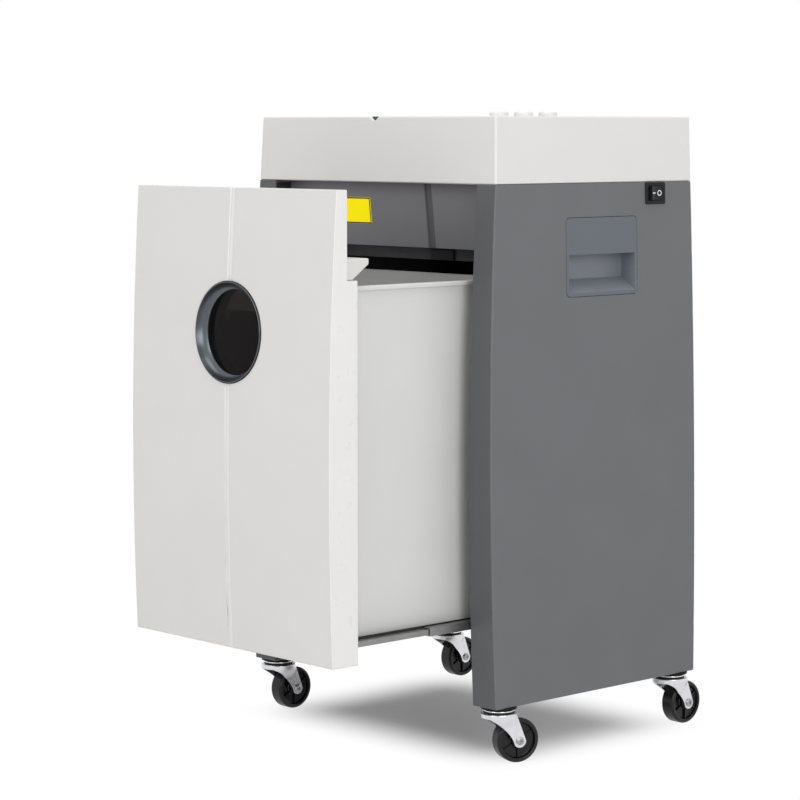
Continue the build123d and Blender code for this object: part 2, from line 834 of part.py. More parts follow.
def tie_places():
    """The Y and Z of the tie rods between the bearing plates."""
    low, high = deck_top + tie_inset, plate_top - tie_inset
    return [(plate_front + tie_inset, low), (plate_front + tie_inset, high), (plate_back - tie_inset, high)]


def cutter_tie_rods():
    """Three rods that space the bearing plates, with reduced ends in their holes."""
    rods = []
    for y, z in tie_places():
        rod = rod_x(y, z, tie_radius, -plate_inner, plate_inner)
        reach = plate_inner + plate_thick + tie_radius / 2
        rods.append(rod + rod_x(y, z, tie_radius / 2, -reach, reach))
    return rods


def shaft_bushes():
    """Four flanged bushes, pressed into the bearing plates from outside."""
    bushes = []
    for side in (-1, 1):
        for y in (front_shaft_y, rear_shaft_y):
            seat, end = side * plate_inner, side * (plate_inner + plate_thick)
            bush = rod_x(y, cutter_z, bush_radius, *sorted((seat, end)))
            bush += rod_x(y, cutter_z, bush_flange_radius, *sorted((end, end + side * bush_flange)))
            bushes.append(bush - rod_x(y, cutter_z, shaft_journal + running_play, -overrun, overrun))
    return bushes


def disc_face():
    """A cutter disc's outline: hooked teeth round a circle."""
    points = []
    for hook in range(disc_hooks):
        for depth_share, turn_share in hook_shares:
            radius = disc_radius - depth_share * hook_depth
            angle = 2 * pi * (hook + turn_share) / disc_hooks
            points.append((radius * cos(angle), radius * sin(angle)))
    return Polygon(*points, align=None)


def disc_centres(shaft):
    """The X of each cutter disc: the rear shaft's stand between the front shaft's."""
    count = disc_count_front if shaft == "front" else disc_count_front - 1
    return [(index - (count - 1) / 2) * disc_pitch for index in range(count)]


def cutter_discs(shaft):
    """The hooked discs of one shaft, each with the hub that spaces it from the next."""
    y = front_shaft_y if shaft == "front" else rear_shaft_y
    turn = 1 if shaft == "front" else -1
    bore = RegularPolygon(shaft_hex + seat_play, 6, major_radius=False)
    discs = []
    for index, x in enumerate(disc_centres(shaft)):
        twist = index * 360 / disc_hooks / 3
        disc = extrude(Rot(0, 0, twist) * disc_face(), amount=disc_thick / 2, both=True)
        hub_length = disc_pitch - disc_thick if index < len(disc_centres(shaft)) - 1 else 0
        if hub_length:
            disc += rod_z(0, 0, hub_radius, disc_thick / 2, disc_thick / 2 + hub_length - fit_gap)
        disc -= extrude(bore, amount=disc_pitch, both=True)
        if turn < 0:
            disc = mirror(disc, about=Plane.XZ)
        discs.append(Pos(x, y, cutter_z) * Rot(0, 90, 0) * disc)
    return discs


def cutter_shaft(shaft):
    """A hexagonal cutter shaft with round journals, and a flat end that carries its gear."""
    y = front_shaft_y if shaft == "front" else rear_shaft_y
    body = extrude(RegularPolygon(shaft_hex, 6, major_radius=False), amount=plate_inner - fit_gap, both=True)
    body = Pos(0, y, cutter_z) * Rot(0, 90, 0) * body
    gear_end = gear_near - gear_width - fit_gap
    return body + rod_x(y, cutter_z, shaft_journal, gear_end, plate_inner + plate_thick + 2 * bush_flange)


def stripper_comb(shaft):
    """A comb whose fingers reach between one shaft's discs and scrape its hubs."""
    front = shaft == "front"
    shaft_y = front_shaft_y if front else rear_shaft_y
    sign = -1 if front else 1
    back = shaft_y + sign * (disc_radius + comb_gap)
    face = back + sign * comb_thick
    spine_low, spine_high = sorted((back, face))
    comb = block((fit_gap - plate_inner, spine_low, comb_low), (plate_inner - fit_gap, spine_high, comb_high))
    centres = disc_centres(shaft)
    gaps = [(a + b) / 2 for a, b in zip(centres, centres[1:])]
    finger_low, finger_high = sorted((shaft_y + sign * comb_reach / 2, back))
    half = comb_finger / 2
    for x in gaps:
        comb += block((x - half, finger_low, comb_low), (x + half, finger_high, comb_high))
    return comb - rod_x(shaft_y, cutter_z, comb_reach, -overrun, overrun)


def gear_face(teeth, first_tooth):
    """A spur gear's outline with straight flanks; first_tooth is one tooth's direction in degrees."""
    pitch_radius = gear_module * teeth / 2
    tip, root = pitch_radius + addendum_share * gear_module, pitch_radius - dedendum_share * gear_module
    thickness = pi * gear_module / 2 - gear_backlash
    flanks = ((root, -root_width_share), (tip, -tip_width_share),
              (tip, tip_width_share), (root, root_width_share))
    points = []
    for tooth in range(teeth):
        centre = radians(first_tooth + 360 * tooth / teeth)
        for radius, width in flanks:
            angle = centre + width * thickness / 2 / radius
            points.append((radius * cos(angle), radius * sin(angle)))
    return Polygon(*points, align=None)


def gear_along_x(teeth, first_tooth, y, z, start, width, bore):
    """A spur gear on an axis along X; directions are counted from +Y towards +Z."""
    gear = across(gear_face(teeth, first_tooth), start, start + width)
    return Pos(0, y, z) * gear - rod_x(y, z, bore, start - width, start + 2 * width)


def shaft_gear(shaft):
    """The gear on a cutter shaft: the rear one shows a tooth to the front one's gap."""
    half_pitch = 180 / shaft_teeth
    if shaft == "rear":
        first_tooth, y = 180, rear_shaft_y
    else:
        first_tooth, y = half_pitch, front_shaft_y
    start = gear_near - gear_width
    return gear_along_x(shaft_teeth, first_tooth, y, cutter_z, start, gear_width, shaft_journal + seat_play)


def motor_pinion():
    """The motor's pinion on its short output shaft."""
    toward_gear = pinion_direction + 180
    start = gear_near - gear_width - (pinion_width - gear_width) / 2
    bore = pinion_shaft / 2
    pinion = gear_along_x(pinion_teeth, toward_gear, pinion_y, pinion_z, start, pinion_width, bore)
    end = start + pinion_width
    return pinion + rod_x(pinion_y, pinion_z, pinion_shaft, gearbox_inner - pinion_shaft, end)


def gearbox():
    """The gearbox housing between the motor's end and the pinion shaft."""
    small = Pos(pinion_y, pinion_z) * Circle(gearbox_output_radius)
    large = Pos(motor_y, motor_z) * Circle(gearbox_motor_radius)
    box = across(make_hull(small.edges() + large.edges()), gearbox_outer, gearbox_inner)
    bore, depth = pinion_shaft + running_play, pinion_shaft + running_play
    return box - rod_x(pinion_y, pinion_z, bore, gearbox_inner - depth, gearbox_inner + depth)


def motor():
    """The motor: a can between two end bells, against the gearbox."""
    end = gearbox_inner + motor_nose + motor_length
    can = rod_x(motor_y, motor_z, motor_radius, gearbox_inner + motor_nose, end - motor_bell)
    bell = rod_x(motor_y, motor_z, motor_bell_radius, end - motor_bell, end)
    nose = rod_x(motor_y, motor_z, motor_nose_radius, gearbox_inner, gearbox_inner + motor_nose)
    return can + bell + nose + rod_x(motor_y, motor_z, pinion_shaft, end, end + motor_bell / 2)


def motor_cradle():
    """The saddle that carries the motor on the head deck."""
    saddle = block((cradle_low_x, motor_y - cradle_half, deck_top),
                   (cradle_high_x, motor_y + cradle_half, motor_z - motor_radius / 2))
    return saddle - rod_x(motor_y, motor_z, motor_radius + fit_gap, -overrun, overrun)


def feed_throat():
    """The funnel from the feed slot down to the cutters, hung under the cover's well."""
    top = well_floor - deck_skin

    def tube(grow):
        upper = Rectangle(2 * (slot_half + grow), throat_top_width + 2 * grow)
        lower = Rectangle(2 * (throat_bottom_half + grow), throat_bottom_width + 2 * grow)
        return loft([Pos(0, cutter_y, throat_bottom) * lower, Pos(0, cutter_y, top) * upper])

    reach_x, reach_y = slot_half + throat_flange, throat_top_width / 2 + throat_flange
    flange = block((-reach_x, cutter_y - reach_y, top - throat_wall), (reach_x, cutter_y + reach_y, top))
    return tube(throat_wall) + flange - tube(0)


def control_board():
    """The control board on four posts, with its transformer, capacitors and relays."""
    low = deck_top + board_height
    top = low + board_thick
    board = block((board_low_x, board_front, low), (board_high_x, board_back, top))
    width, length = board_high_x - board_low_x, board_back - board_front
    for x in (board_low_x + post_radius, board_high_x - post_radius):
        for y in (board_front + post_radius, board_back - post_radius):
            board += rod_z(x, y, post_radius, deck_top, low)
    for x_share, y_share, x_size, y_size, height in board_box_shares:
        x, y = board_low_x + x_share * width, board_front + y_share * length
        board += block((x, y, top), (x + x_size * width, y + y_size * length, top + height * width))
    for x_share, y_share in board_can_shares:
        x, y = board_low_x + x_share * width, board_front + y_share * length
        board += rod_z(x, y, 2 * post_radius, top, top + board_height * 2)
    return board


def runner_outer():
    """The right fixed runner on the side frame: a channel open towards the drawer."""
    inner, low, high = tray_half + 2 * runner_thick + 2 * runner_gap, runner_low, runner_low + runner_height
    channel = block((inner, runner_front, low), (bay_half, runner_back, high))
    return channel - block((inner - overrun, runner_front, low + runner_thick),
                           (bay_half - runner_thick, runner_back, high - runner_thick))


def runner_middle():
    """The right middle runner: half as far out as the drawer."""
    shift = -drawer_out / 2
    step = runner_thick + runner_gap
    low, high = runner_low + step, runner_low + runner_height - step
    inner, outer = tray_half + runner_thick + runner_gap, bay_half - step
    channel = block((inner, runner_front + shift, low), (outer, runner_back + shift, high))
    return channel - block((inner - overrun, runner_front + shift, low + runner_thick),
                           (outer - runner_thick, runner_back + shift, high - runner_thick))


def runner_inner():
    """The right drawer runner, fixed to the tray's side."""
    step = 2 * (runner_thick + runner_gap)
    low, high = runner_low + step, runner_low + runner_height - step
    front = out(lower_back)
    return block((tray_half, front, low), (bay_half - step, out(runner_inner_back), high))


def out(y):
    """A Y of the closed drawer, moved to where the open drawer has it."""
    return y - drawer_out


def drawer_front():
    """The drawer's front: a hollow moulding, bowed like the panels, with a crease and the window hole."""

    def form(inset):
        upper = bowed_face(inset, front_low + inset, front_high - inset, upper_back)
        lower = bowed_face(inset, front_low + inset, step_height - inset, lower_back)
        start, end = inset - front_half, front_half - inset
        return across(upper, start, end) + across(lower, start, end)

    outer = form(0)
    edges = outer.edges().filter_by(lambda e: e.length > panel_height / 2).sort_by(Axis.Y)[:2]
    outer = fillet(edges, edge_round)
    shell = outer - form(front_wall)
    half, depth = crease_width / 2, crease_depth
    profile = Polygon((-half, -depth), (half, -depth), (half, 0), (0, depth), (-half, 0), align=None)
    path = Plane.YZ * bowed_edge(0, front_low - front_wall, front_high + front_wall)
    crease = sweep(Plane(path @ 0, x_dir=(1, 0, 0), z_dir=path % 0) * Rot(0, 0, 180) * profile, path=path)
    shell -= crease
    shell -= window_place() * rod_y(0, 0, window_barrel + fit_gap, -2 * window_depth, 2 * window_depth)
    return Pos(0, -drawer_out, 0) * shell


def window_place():
    """Where the window's axis meets the closed drawer's bowed front, tilted to its slope."""
    rise = front_wall
    slope = degrees(atan2(front_line(window_height + rise) - front_line(window_height - rise), 2 * rise))
    return Pos(0, front_line(window_height) - window_seat, window_height) * Rot(-slope, 0, 0)


def window_ring():
    """The window's ring: a flange on the front that dishes inwards to a short barrel."""
    rim, throat = (window_radius - window_lip, -window_proud), (window_inner, window_depth - window_lip)
    middle = ((rim[0] + throat[0]) / 2 - window_hollow, (rim[1] + throat[1]) / 2 - window_hollow)
    edge = Polyline(rim, (window_radius, -window_proud / 2), (window_radius, 0), (window_barrel, 0),
                    (window_barrel, window_depth), (window_inner, window_depth), throat)
    ring = revolve(make_face([ThreePointArc(throat, middle, rim), edge]), axis=Axis.Y)
    return Pos(0, -drawer_out, 0) * window_place() * ring


def window_lens():
    """The smoked window, seated against the ring's tube from behind."""
    lens = rod_y(0, 0, window_barrel, window_depth, window_depth + lens_thick)
    return Pos(0, -drawer_out, 0) * window_place() * lens


def drawer_backing():
    """The folded sheet that closes the drawer front's back, with a hole behind the window."""
    thick, gap = backing_thick, front_wall + fit_gap
    low, high, step = front_low + gap, front_high - gap, step_height - gap
    outline = Polygon((upper_back, high), (upper_back - thick, high), (upper_back - thick, step - thick),
                      (lower_back - thick, step - thick), (lower_back - thick, low), (lower_back, low),
                      (lower_back, step), (upper_back, step), align=None)
    sheet = across(outline, gap - front_half, front_half - gap)
    sheet -= rod_y(0, window_height, backing_hole, lower_back - 2 * thick, lower_back + thick)
    return Pos(0, -drawer_out, 0) * sheet


def drawer_ledge():
    """The ledge over the step: it closes the gap under the head when the drawer is in."""
    outline = Polygon((upper_back, ledge_top), (ledge_tip, ledge_top), (ledge_tip, ledge_tip_low),
                      (ledge_foot, step_height), (upper_back, step_height), align=None)
    ledge = across(outline, -ledge_half, ledge_half)
    return Pos(0, -drawer_out, 0) * ledge


def bin_form(half, front, back, low, high, draft, corner):
    """An upright box with round corners, narrower at the bottom by draft on each side."""
    middle = (front + back) / 2
    upper = Pos(0, middle, high) * RectangleRounded(2 * half, back - front, corner)
    lower = RectangleRounded(2 * (half - draft), back - front - 2 * draft, corner - draft)
    return loft([Pos(0, middle, low) * lower, upper])


def waste_bin():
    """The bin: a drafted box with a rolled rim, its front wall cut down behind the window."""
    low = tray_low + tray_thick
    outer = bin_form(bin_half, bin_front, bin_back, low, bin_top, bin_draft, bin_corner)
    middle = (bin_front + bin_back) / 2
    lip = RectangleRounded(2 * (bin_half + bin_lip), bin_back - bin_front + 2 * bin_lip, bin_corner + bin_lip)
    lip_solid = extrude(Pos(0, middle, bin_top - bin_lip_height) * lip, amount=bin_lip_height)
    lip_solid = fillet(lip_solid.faces().sort_by(Axis.Z)[-1].edges(), edge_round)
    wall = bin_wall
    inner = bin_form(bin_half - wall, bin_front + wall, bin_back - wall, low + wall, bin_top + wall,
                     bin_draft, bin_corner - wall)
    bin_solid = outer + lip_solid - inner
    top, foot = bin_top + wall, bin_top - bin_notch_height
    wide, narrow = bin_notch_half, bin_notch_half - bin_notch_slant
    notch = Polygon((-wide, top), (-narrow, foot), (narrow, foot), (wide, top), align=None)
    cut = extrude(Plane.XZ * notch, amount=bin_corner / 2, both=True)
    return Pos(0, -drawer_out, 0) * (bin_solid - Pos(0, bin_front, 0) * cut)


def drawer_tray():
    """The tray that carries the bin, with a tab up the back of the drawer front."""
    front = out(lower_back)
    back = out(tray_back)
    tray = block((-tray_half, front, tray_low), (tray_half, back, tray_rim))
    tray -= block((tray_thick - tray_half, front + tray_thick, tray_low + tray_thick),
                  (tray_half - tray_thick, back - tray_thick, tray_rim + tray_thick))
    return tray


def caster_stems():
    """The four caster stems with their dust rings, screwed up into the panels."""
    stems = []
    for name, x, y, turn in caster_places():
        ring = rod_z(x, y, dust_ring, panel_bottom - dust_ring_height, panel_bottom)
        stems.append(ring + rod_z(x, y, stem_radius, panel_bottom, panel_bottom + stem_height))
    return stems


def fork_side(root):
    """A fork leg's outline: an apron under the crown that sweeps in a hollow curve to the axle's eye."""

    def on_eye(turn):
        return (wheel_trail + fork_eye * cos(radians(turn)), wheel_radius + fork_eye * sin(radians(turn)))

    top, apron = crown_low + crown_height / 2, (-root, crown_low - fork_apron)
    eye = ThreePointArc(on_eye(fork_eye_turn), on_eye((fork_eye_turn + 360) / 2), on_eye(360))
    start = on_eye(fork_eye_turn)
    length = hypot(start[0] - apron[0], start[1] - apron[1])
    middle = ((apron[0] + start[0]) / 2 + fork_hollow * (apron[1] - start[1]) / length,
              (apron[1] + start[1]) / 2 + fork_hollow * (start[0] - apron[0]) / length)
    sweep_edge = ThreePointArc(apron, middle, start)
    back = Polyline(eye @ 1, (root, crown_low), (root, top), (-root, top), apron)
    return make_face([sweep_edge, eye, back])


def caster_fork():
    """A caster's fork with its axle bolt, its swivel axis on the origin's Z and its wheel behind."""
    crown_top = panel_bottom - dust_ring_height - fit_gap
    crown_middle = crown_top - crown_height / 2
    crown = rod_z(0, 0, crown_radius, crown_low, crown_middle)
    crown += rod_z(0, 0, race_radius, crown_middle, crown_top)
    crown = fillet(crown.edges().filter_by(GeomType.CIRCLE).sort_by(Axis.Z)[0], fork_leg / 2)
    leg_inner = wheel_width / 2 + fork_gap
    reach = leg_inner + fork_leg
    side = fork_side(sqrt(crown_radius ** 2 - reach ** 2))
    fork = crown
    for low, high in ((leg_inner, reach), (-reach, -leg_inner)):
        fork += across(side, low, high)
    fork -= rod_x(wheel_trail, wheel_radius, axle_radius + seat_play, -2 * reach, 2 * reach)
    bolt = rod_x(wheel_trail, wheel_radius, axle_radius, -reach, reach)
    bolt += rod_x(wheel_trail, wheel_radius, axle_head, reach, reach + axle_head_height)
    bolt += rod_x(wheel_trail, wheel_radius, axle_head, -reach - axle_head_height, -reach)
    return [fork, bolt]


def caster_wheel():
    """A caster's wheel: a tyre and a dished web about a bored hub."""
    half = wheel_width / 2
    outline = [(axle_radius + running_play, -half), (wheel_hub, -half), (wheel_hub, wheel_dish - half),
               (wheel_radius - wheel_rim, wheel_dish - half), (wheel_radius - wheel_rim, -half),
               (wheel_radius - edge_round / 2, -half), (wheel_radius, edge_round - half)]
    mirrored_half = [(radius, -x) for radius, x in reversed(outline)]
    profile = Polygon(*outline, *mirrored_half, align=None)
    wheel = revolve(profile, axis=Axis.Y)
    start, end = wheel_hub - wheel_rib_thick, wheel_radius - wheel_rim + wheel_rib_thick
    reach = half - wheel_rib_drop
    rib = block((start, -reach, -wheel_rib_thick / 2), (end, reach, wheel_rib_thick / 2))
    for index in range(wheel_ribs):
        wheel += Rot(0, 360 * index / wheel_ribs, 0) * rib
    return Pos(0, wheel_trail, wheel_radius) * Rot(0, 0, -90) * wheel


def place_caster(piece, x, y, turn):
    """Turns a caster's piece about its swivel axis and moves it under its corner."""
    return Pos(x, y, 0) * Rot(0, 0, turn) * piece


right_panel = side_panel()
save("side_panel_right", right_panel - switch_cutout())
save("side_panel_left", mirrored(right_panel))
frame_sheet = side_frame()
save("side_frame_right", frame_sheet)
save("side_frame_left", mirrored(frame_sheet))
cup = handle_cup()
save("handle_cup_right", cup)
save("handle_cup_left", mirrored(cup))
save("switch_housing", switch_housing())
save("switch_rocker", switch_rocker())
save("rear_panel", rear_panel())
save("rear_panel_screws", *rear_panel_screws())
save("mains_inlet", mains_inlet())
save("base_plate", base_plate())
save("top_cover", top_cover())
save("feed_lid", feed_lid())
for name, y in zip(("button_forward", "button_stop", "button_reverse"), button_places()):
    save(name, push_button(y))
save("button_board", button_board())
save("head_fascia", head_fascia())
save("notice_plate", notice_plate())
save("fascia_rail", fascia_rail())
save("interlock_sensor", interlock_sensor())
save("head_deck", head_deck())
save("cutter_plate_left", cutter_plate(-1))
save("cutter_plate_right", cutter_plate(1))
save("cutter_tie_rods", *cutter_tie_rods())
save("shaft_bushes", *shaft_bushes())
for shaft in ("front", "rear"):
    save(f"cutter_shaft_{shaft}", cutter_shaft(shaft))
    save(f"cutter_discs_{shaft}", *cutter_discs(shaft))
    save(f"stripper_comb_{shaft}", stripper_comb(shaft))
    save(f"shaft_gear_{shaft}", shaft_gear(shaft))
save("motor_pinion", motor_pinion())
save("gearbox", gearbox())
save("motor", motor())
save("motor_cradle", motor_cradle())
save("feed_throat", feed_throat())
save("control_board", control_board())
save("runners_fixed", runner_outer(), mirrored(runner_outer()))
save("runners_middle", runner_middle(), mirrored(runner_middle()))
save("runners_drawer", runner_inner(), mirrored(runner_inner()))
save("drawer_front", drawer_front())
save("drawer_backing", drawer_backing())
save("drawer_ledge", drawer_ledge())
save("window_ring", window_ring())
save("window_lens", window_lens())
save("waste_bin", waste_bin())
save("drawer_tray", drawer_tray())
save("caster_stems", *caster_stems())
for name, x, y, turn in caster_places():
    save(f"caster_fork_{name}", *[place_caster(piece, x, y, turn) for piece in caster_fork()])
    save(f"caster_wheel_{name}", place_caster(caster_wheel(), x, y, turn))
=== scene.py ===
# %% [markdown]
# # A shredder with a pull-out bin
# The construction of this machine is done: panels, cover, drawer, cutters and casters stand as solids at
# their real size, in metres, with +Z up and the front facing -Y. This file gives them their looks. Some
# solids only need a finish. Others are rebuilt here with rounder edges and finer detail, and then stand in
# for the plain solid. Nothing is moved or resized on the way.

# %% Load the machine
import json
import math

import bmesh
import bpy
from mathutils import Matrix, Vector


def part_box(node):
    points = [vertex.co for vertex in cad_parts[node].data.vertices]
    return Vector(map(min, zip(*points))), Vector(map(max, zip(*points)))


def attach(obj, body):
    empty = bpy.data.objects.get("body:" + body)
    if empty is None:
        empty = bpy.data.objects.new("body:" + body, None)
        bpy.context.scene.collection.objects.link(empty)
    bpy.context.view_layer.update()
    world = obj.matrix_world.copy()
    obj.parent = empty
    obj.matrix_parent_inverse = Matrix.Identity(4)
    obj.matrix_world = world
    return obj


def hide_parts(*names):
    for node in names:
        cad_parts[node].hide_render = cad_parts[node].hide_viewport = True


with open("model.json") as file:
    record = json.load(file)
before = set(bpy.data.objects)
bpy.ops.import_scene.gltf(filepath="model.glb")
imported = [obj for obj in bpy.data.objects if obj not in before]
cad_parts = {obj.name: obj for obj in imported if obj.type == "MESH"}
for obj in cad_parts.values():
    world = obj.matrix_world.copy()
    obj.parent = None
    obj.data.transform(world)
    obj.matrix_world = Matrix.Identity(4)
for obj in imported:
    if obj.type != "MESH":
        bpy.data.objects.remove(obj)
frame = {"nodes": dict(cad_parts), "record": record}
nodes = frame["nodes"]
record = frame["record"]
body_of_node = {node: body for body, members in record["behaviour"]["bodies"].items() for node in members}
slot_of_node = {part["node"]: part["material_slot"] for part in record["subparts"]}
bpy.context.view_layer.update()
mm = 0.001

# %% [markdown]
# ## The camera
# The picture was taken a little below the height of the cover, turned 47 degrees to the right of the front,
# from about three metres away. Yaw, tilt, distance and focal length were fitted together to the corners of
# the machine, so the vanishing points agree. The focal length is kept in pixels of an 800 pixel frame,
# because that is how it was measured, and is turned into the lens's millimetres on a 36 mm sensor.

# %% Camera
frame_pixels = 800
focal_pixels = 2696.0
camera_yaw = math.radians(47.144)
camera_tilt = math.radians(5.779)
camera_distance = 3.1593
aim_across = -0.0847
aim_height = 0.3774

ahead = Vector((-math.sin(camera_yaw) * math.cos(camera_tilt), math.cos(camera_yaw) * math.cos(camera_tilt),
                -math.sin(camera_tilt)))
aim = Vector((aim_across * math.cos(camera_yaw), aim_across * math.sin(camera_yaw), aim_height))
lens = bpy.data.cameras.new("camera")
lens.sensor_width = 36
lens.lens = focal_pixels / frame_pixels * lens.sensor_width
camera = bpy.data.objects.new("camera", lens)
camera.location = aim - ahead * camera_distance
camera.rotation_euler = ahead.to_track_quat("-Z", "Y").to_euler()
bpy.context.scene.collection.objects.link(camera)
bpy.context.scene.camera = camera
print("camera at", [round(value, 3) for value in camera.location], "lens", round(lens.lens, 1), "mm")

# %% [markdown]
# ## Light
# The photograph is a plain studio picture, softly lit and white all round. A white world gives the even part.
# Three area lamps give the direction: one overhead, one to the right of the camera and one to its left. Their
# strength is low enough that a painted surface renders at about the colour it was given.

# %% Background
scene = bpy.context.scene
scene.view_settings.view_transform = "Standard"
world_light = 0.62


def any_of(tree, *facts):
    """Adds up yes-or-no values and keeps the sum at one at most."""
    total = facts[0]
    for fact in facts[1:]:
        adder = tree.nodes.new("ShaderNodeMath")
        adder.operation = "ADD"
        adder.use_clamp = True
        tree.links.new(total, adder.inputs[0])
        tree.links.new(fact, adder.inputs[1])
        total = adder.outputs[0]
    return total


def seen_directly(tree):
    """Is this ray looking at the background itself, in a mirror or through glass?"""
    path = tree.nodes.new("ShaderNodeLightPath")
    return any_of(tree, path.outputs["Is Camera Ray"], path.outputs["Is Glossy Ray"],
                  path.outputs["Is Transmission Ray"])


def make_world():
    """White all round: dimmer as a light than as a background."""
    world = bpy.data.worlds.new("studio")
    world.use_nodes = True
    tree = world.node_tree
    strength = tree.nodes.new("ShaderNodeMapRange")
    strength.inputs["To Min"].default_value = world_light
    strength.inputs["To Max"].default_value = 1.0
    tree.links.new(seen_directly(tree), strength.inputs["Value"])
    background = tree.nodes["Background"]
    background.inputs["Color"].default_value = (1, 1, 1, 1)
    tree.links.new(strength.outputs["Result"], background.inputs["Strength"])
    scene.world = world


make_world()
print("world light", world_light)

# %% [markdown]
# ## Lamps
# An area lamp is a glowing square. The wider it is, the softer the shadow's edge. Each is aimed at the middle
# of the machine by turning its own -Z axis that way.

# %% Lamps
machine_middle = Vector((0, -0.1, 0.36))


def area_lamp(name, place, size, watts):
    """A square lamp at a place, aimed at the middle of the machine."""
    lamp = bpy.data.lights.new(name, "AREA")
    lamp.size = size
    lamp.energy = watts
    holder = bpy.data.objects.new(name, lamp)
    holder.location = place
    holder.rotation_euler = (machine_middle - Vector(place)).to_track_quat("-Z", "Y").to_euler()
    scene.collection.objects.link(holder)
    return holder


overhead = area_lamp("overhead_softbox", (0.5, -0.3, 3.2), 2.2, 30)
side_lamp = area_lamp("side_softbox", (3.2, -1.2, 1.3), 1.6, 28)
front_lamp = area_lamp("front_softbox", (0.5, -3.4, 1.7), 1.6, 24)
print("lamps:", overhead.name, side_lamp.name, front_lamp.name)

# %% [markdown]
# ## The floor
# The floor is white paper that runs up out of sight. Under the machine it is a real matt surface, so it
# catches the soft shadow between the casters. Beyond the machine's footprint it fades into plain white, so
# that no horizon shows. The fade is measured along the floor's own two axes, not from the camera, so it looks
# the same from any side. `shadow_share` says how much of the matt paper is left under the machine.

# %% The floor's fade
footprint = (0.204, 0.160)
fade_inside = 0.09
fade_outside = 0.04


def footprint_share(tree):
    """One under the machine, falling to nothing just outside its footprint."""
    place = tree.nodes.new("ShaderNodeNewGeometry")
    split = tree.nodes.new("ShaderNodeSeparateXYZ")
    tree.links.new(place.outputs["Position"], split.inputs[0])
    shares = []
    for axis, half in zip("XY", footprint):
        distance = tree.nodes.new("ShaderNodeMath")
        distance.operation = "ABSOLUTE"
        tree.links.new(split.outputs[axis], distance.inputs[0])
        fade = tree.nodes.new("ShaderNodeMapRange")
        fade.interpolation_type = "SMOOTHSTEP"
        fade.inputs["From Min"].default_value = half + fade_outside
        fade.inputs["From Max"].default_value = half - fade_inside
        tree.links.new(distance.outputs[0], fade.inputs["Value"])
        shares.append(fade.outputs["Result"])
    both = tree.nodes.new("ShaderNodeMath")
    both.operation = "MULTIPLY"
    for share, socket in zip(shares, both.inputs):
        tree.links.new(share, socket)
    return both.outputs[0]


print("footprint", footprint)

# %% Floor
floor_half = 12.0
shadow_share = 0.88
paper_white = 0.8


def make_floor():
    """A wide sheet of paper, matt under the machine and plain white beyond it."""
    plane = bmesh.new()
    signs = ((-1, -1), (1, -1), (1, 1), (-1, 1))
    plane.faces.new([plane.verts.new((x * floor_half, y * floor_half, 0)) for x, y in signs])
    mesh = bpy.data.meshes.new("floor")
    plane.to_mesh(mesh)
    plane.free()
    floor = bpy.data.objects.new("floor", mesh)
    scene.collection.objects.link(floor)
    paper = bpy.data.materials.new("floor_paper")
    paper.use_nodes = True
    tree = paper.node_tree
    matt = tree.nodes["Principled BSDF"]
    matt.inputs["Base Color"].default_value = (paper_white, paper_white, paper_white, 1)
    matt.inputs["Roughness"].default_value = 0.9
    matt.inputs["Specular IOR Level"].default_value = 0.1
    glow = tree.nodes.new("ShaderNodeEmission")
    plain = tree.nodes.new("ShaderNodeMapRange")
    plain.inputs["To Min"].default_value = 1.0
    plain.inputs["To Max"].default_value = 1.0 - shadow_share
    tree.links.new(footprint_share(tree), plain.inputs["Value"])
    both = tree.nodes.new("ShaderNodeMath")
    both.operation = "MULTIPLY"
    tree.links.new(plain.outputs["Result"], both.inputs[0])
    tree.links.new(seen_directly(tree), both.inputs[1])
    mix = tree.nodes.new("ShaderNodeMixShader")
    tree.links.new(both.outputs[0], mix.inputs[0])
    tree.links.new(matt.outputs[0], mix.inputs[1])
    tree.links.new(glow.outputs[0], mix.inputs[2])
    tree.links.new(mix.outputs[0], tree.nodes["Material Output"].inputs["Surface"])
    mesh.materials.append(paper)
    return floor


print("floor:", make_floor().name)

# %% [markdown]
# ## Finishes
# Every finish here is worked out by the shader from the surface's own place in space, so it needs no picture
# and no unwrapping. Three things make a moulding look moulded: a fine spark-eroded grain, a slow change of
# tone over a hand's breadth, and a roughness that isn't even. `speckle` makes one layer of noise at a size
# given in metres, and the finishes below stack two or three of them.

# %% Colours and new finishes


def grey(value, tint=(0, 0, 0)):
    """A colour from a screen grey of 0 to 255, with a small tint added in the same steps."""
    steps = [(value + offset) / 255 for offset in tint]
    return tuple(step / 12.92 if step <= 0.04045 else ((step + 0.055) / 1.055) ** 2.4 for step in steps)


def new_finish(name, colour, roughness, metallic=0.0, specular=0.5):
    """A Principled material and the parts of it that the finishes below work on."""
    material = bpy.data.materials.new(name)
    material.use_nodes = True
    tree = material.node_tree
    shader = tree.nodes["Principled BSDF"]
    shader.inputs["Base Color"].default_value = (*colour, 1)
    shader.inputs["Roughness"].default_value = roughness
    shader.inputs["Metallic"].default_value = metallic
    shader.inputs["Specular IOR Level"].default_value = specular
    material.diffuse_color = (*colour, 1)
    return material, tree, shader


print("middle grey is", [round(part, 3) for part in grey(128)])

# %% Noise and dents


def speckle(tree, size, detail=2.0, stretch=(1, 1, 1)):
    """Noise whose lumps are about size metres across, longer along an axis where stretch is above one."""
    where = tree.nodes.new("ShaderNodeTexCoord")
    shape = tree.nodes.new("ShaderNodeMapping")
    shape.inputs["Scale"].default_value = tuple(1 / (size * s) for s in stretch)
    noise = tree.nodes.new("ShaderNodeTexNoise")
    noise.inputs["Scale"].default_value = 1.0
    noise.inputs["Detail"].default_value = detail
    tree.links.new(where.outputs["Object"], shape.inputs["Vector"])
    tree.links.new(shape.outputs["Vector"], noise.inputs["Vector"])
    return noise.outputs["Fac"]


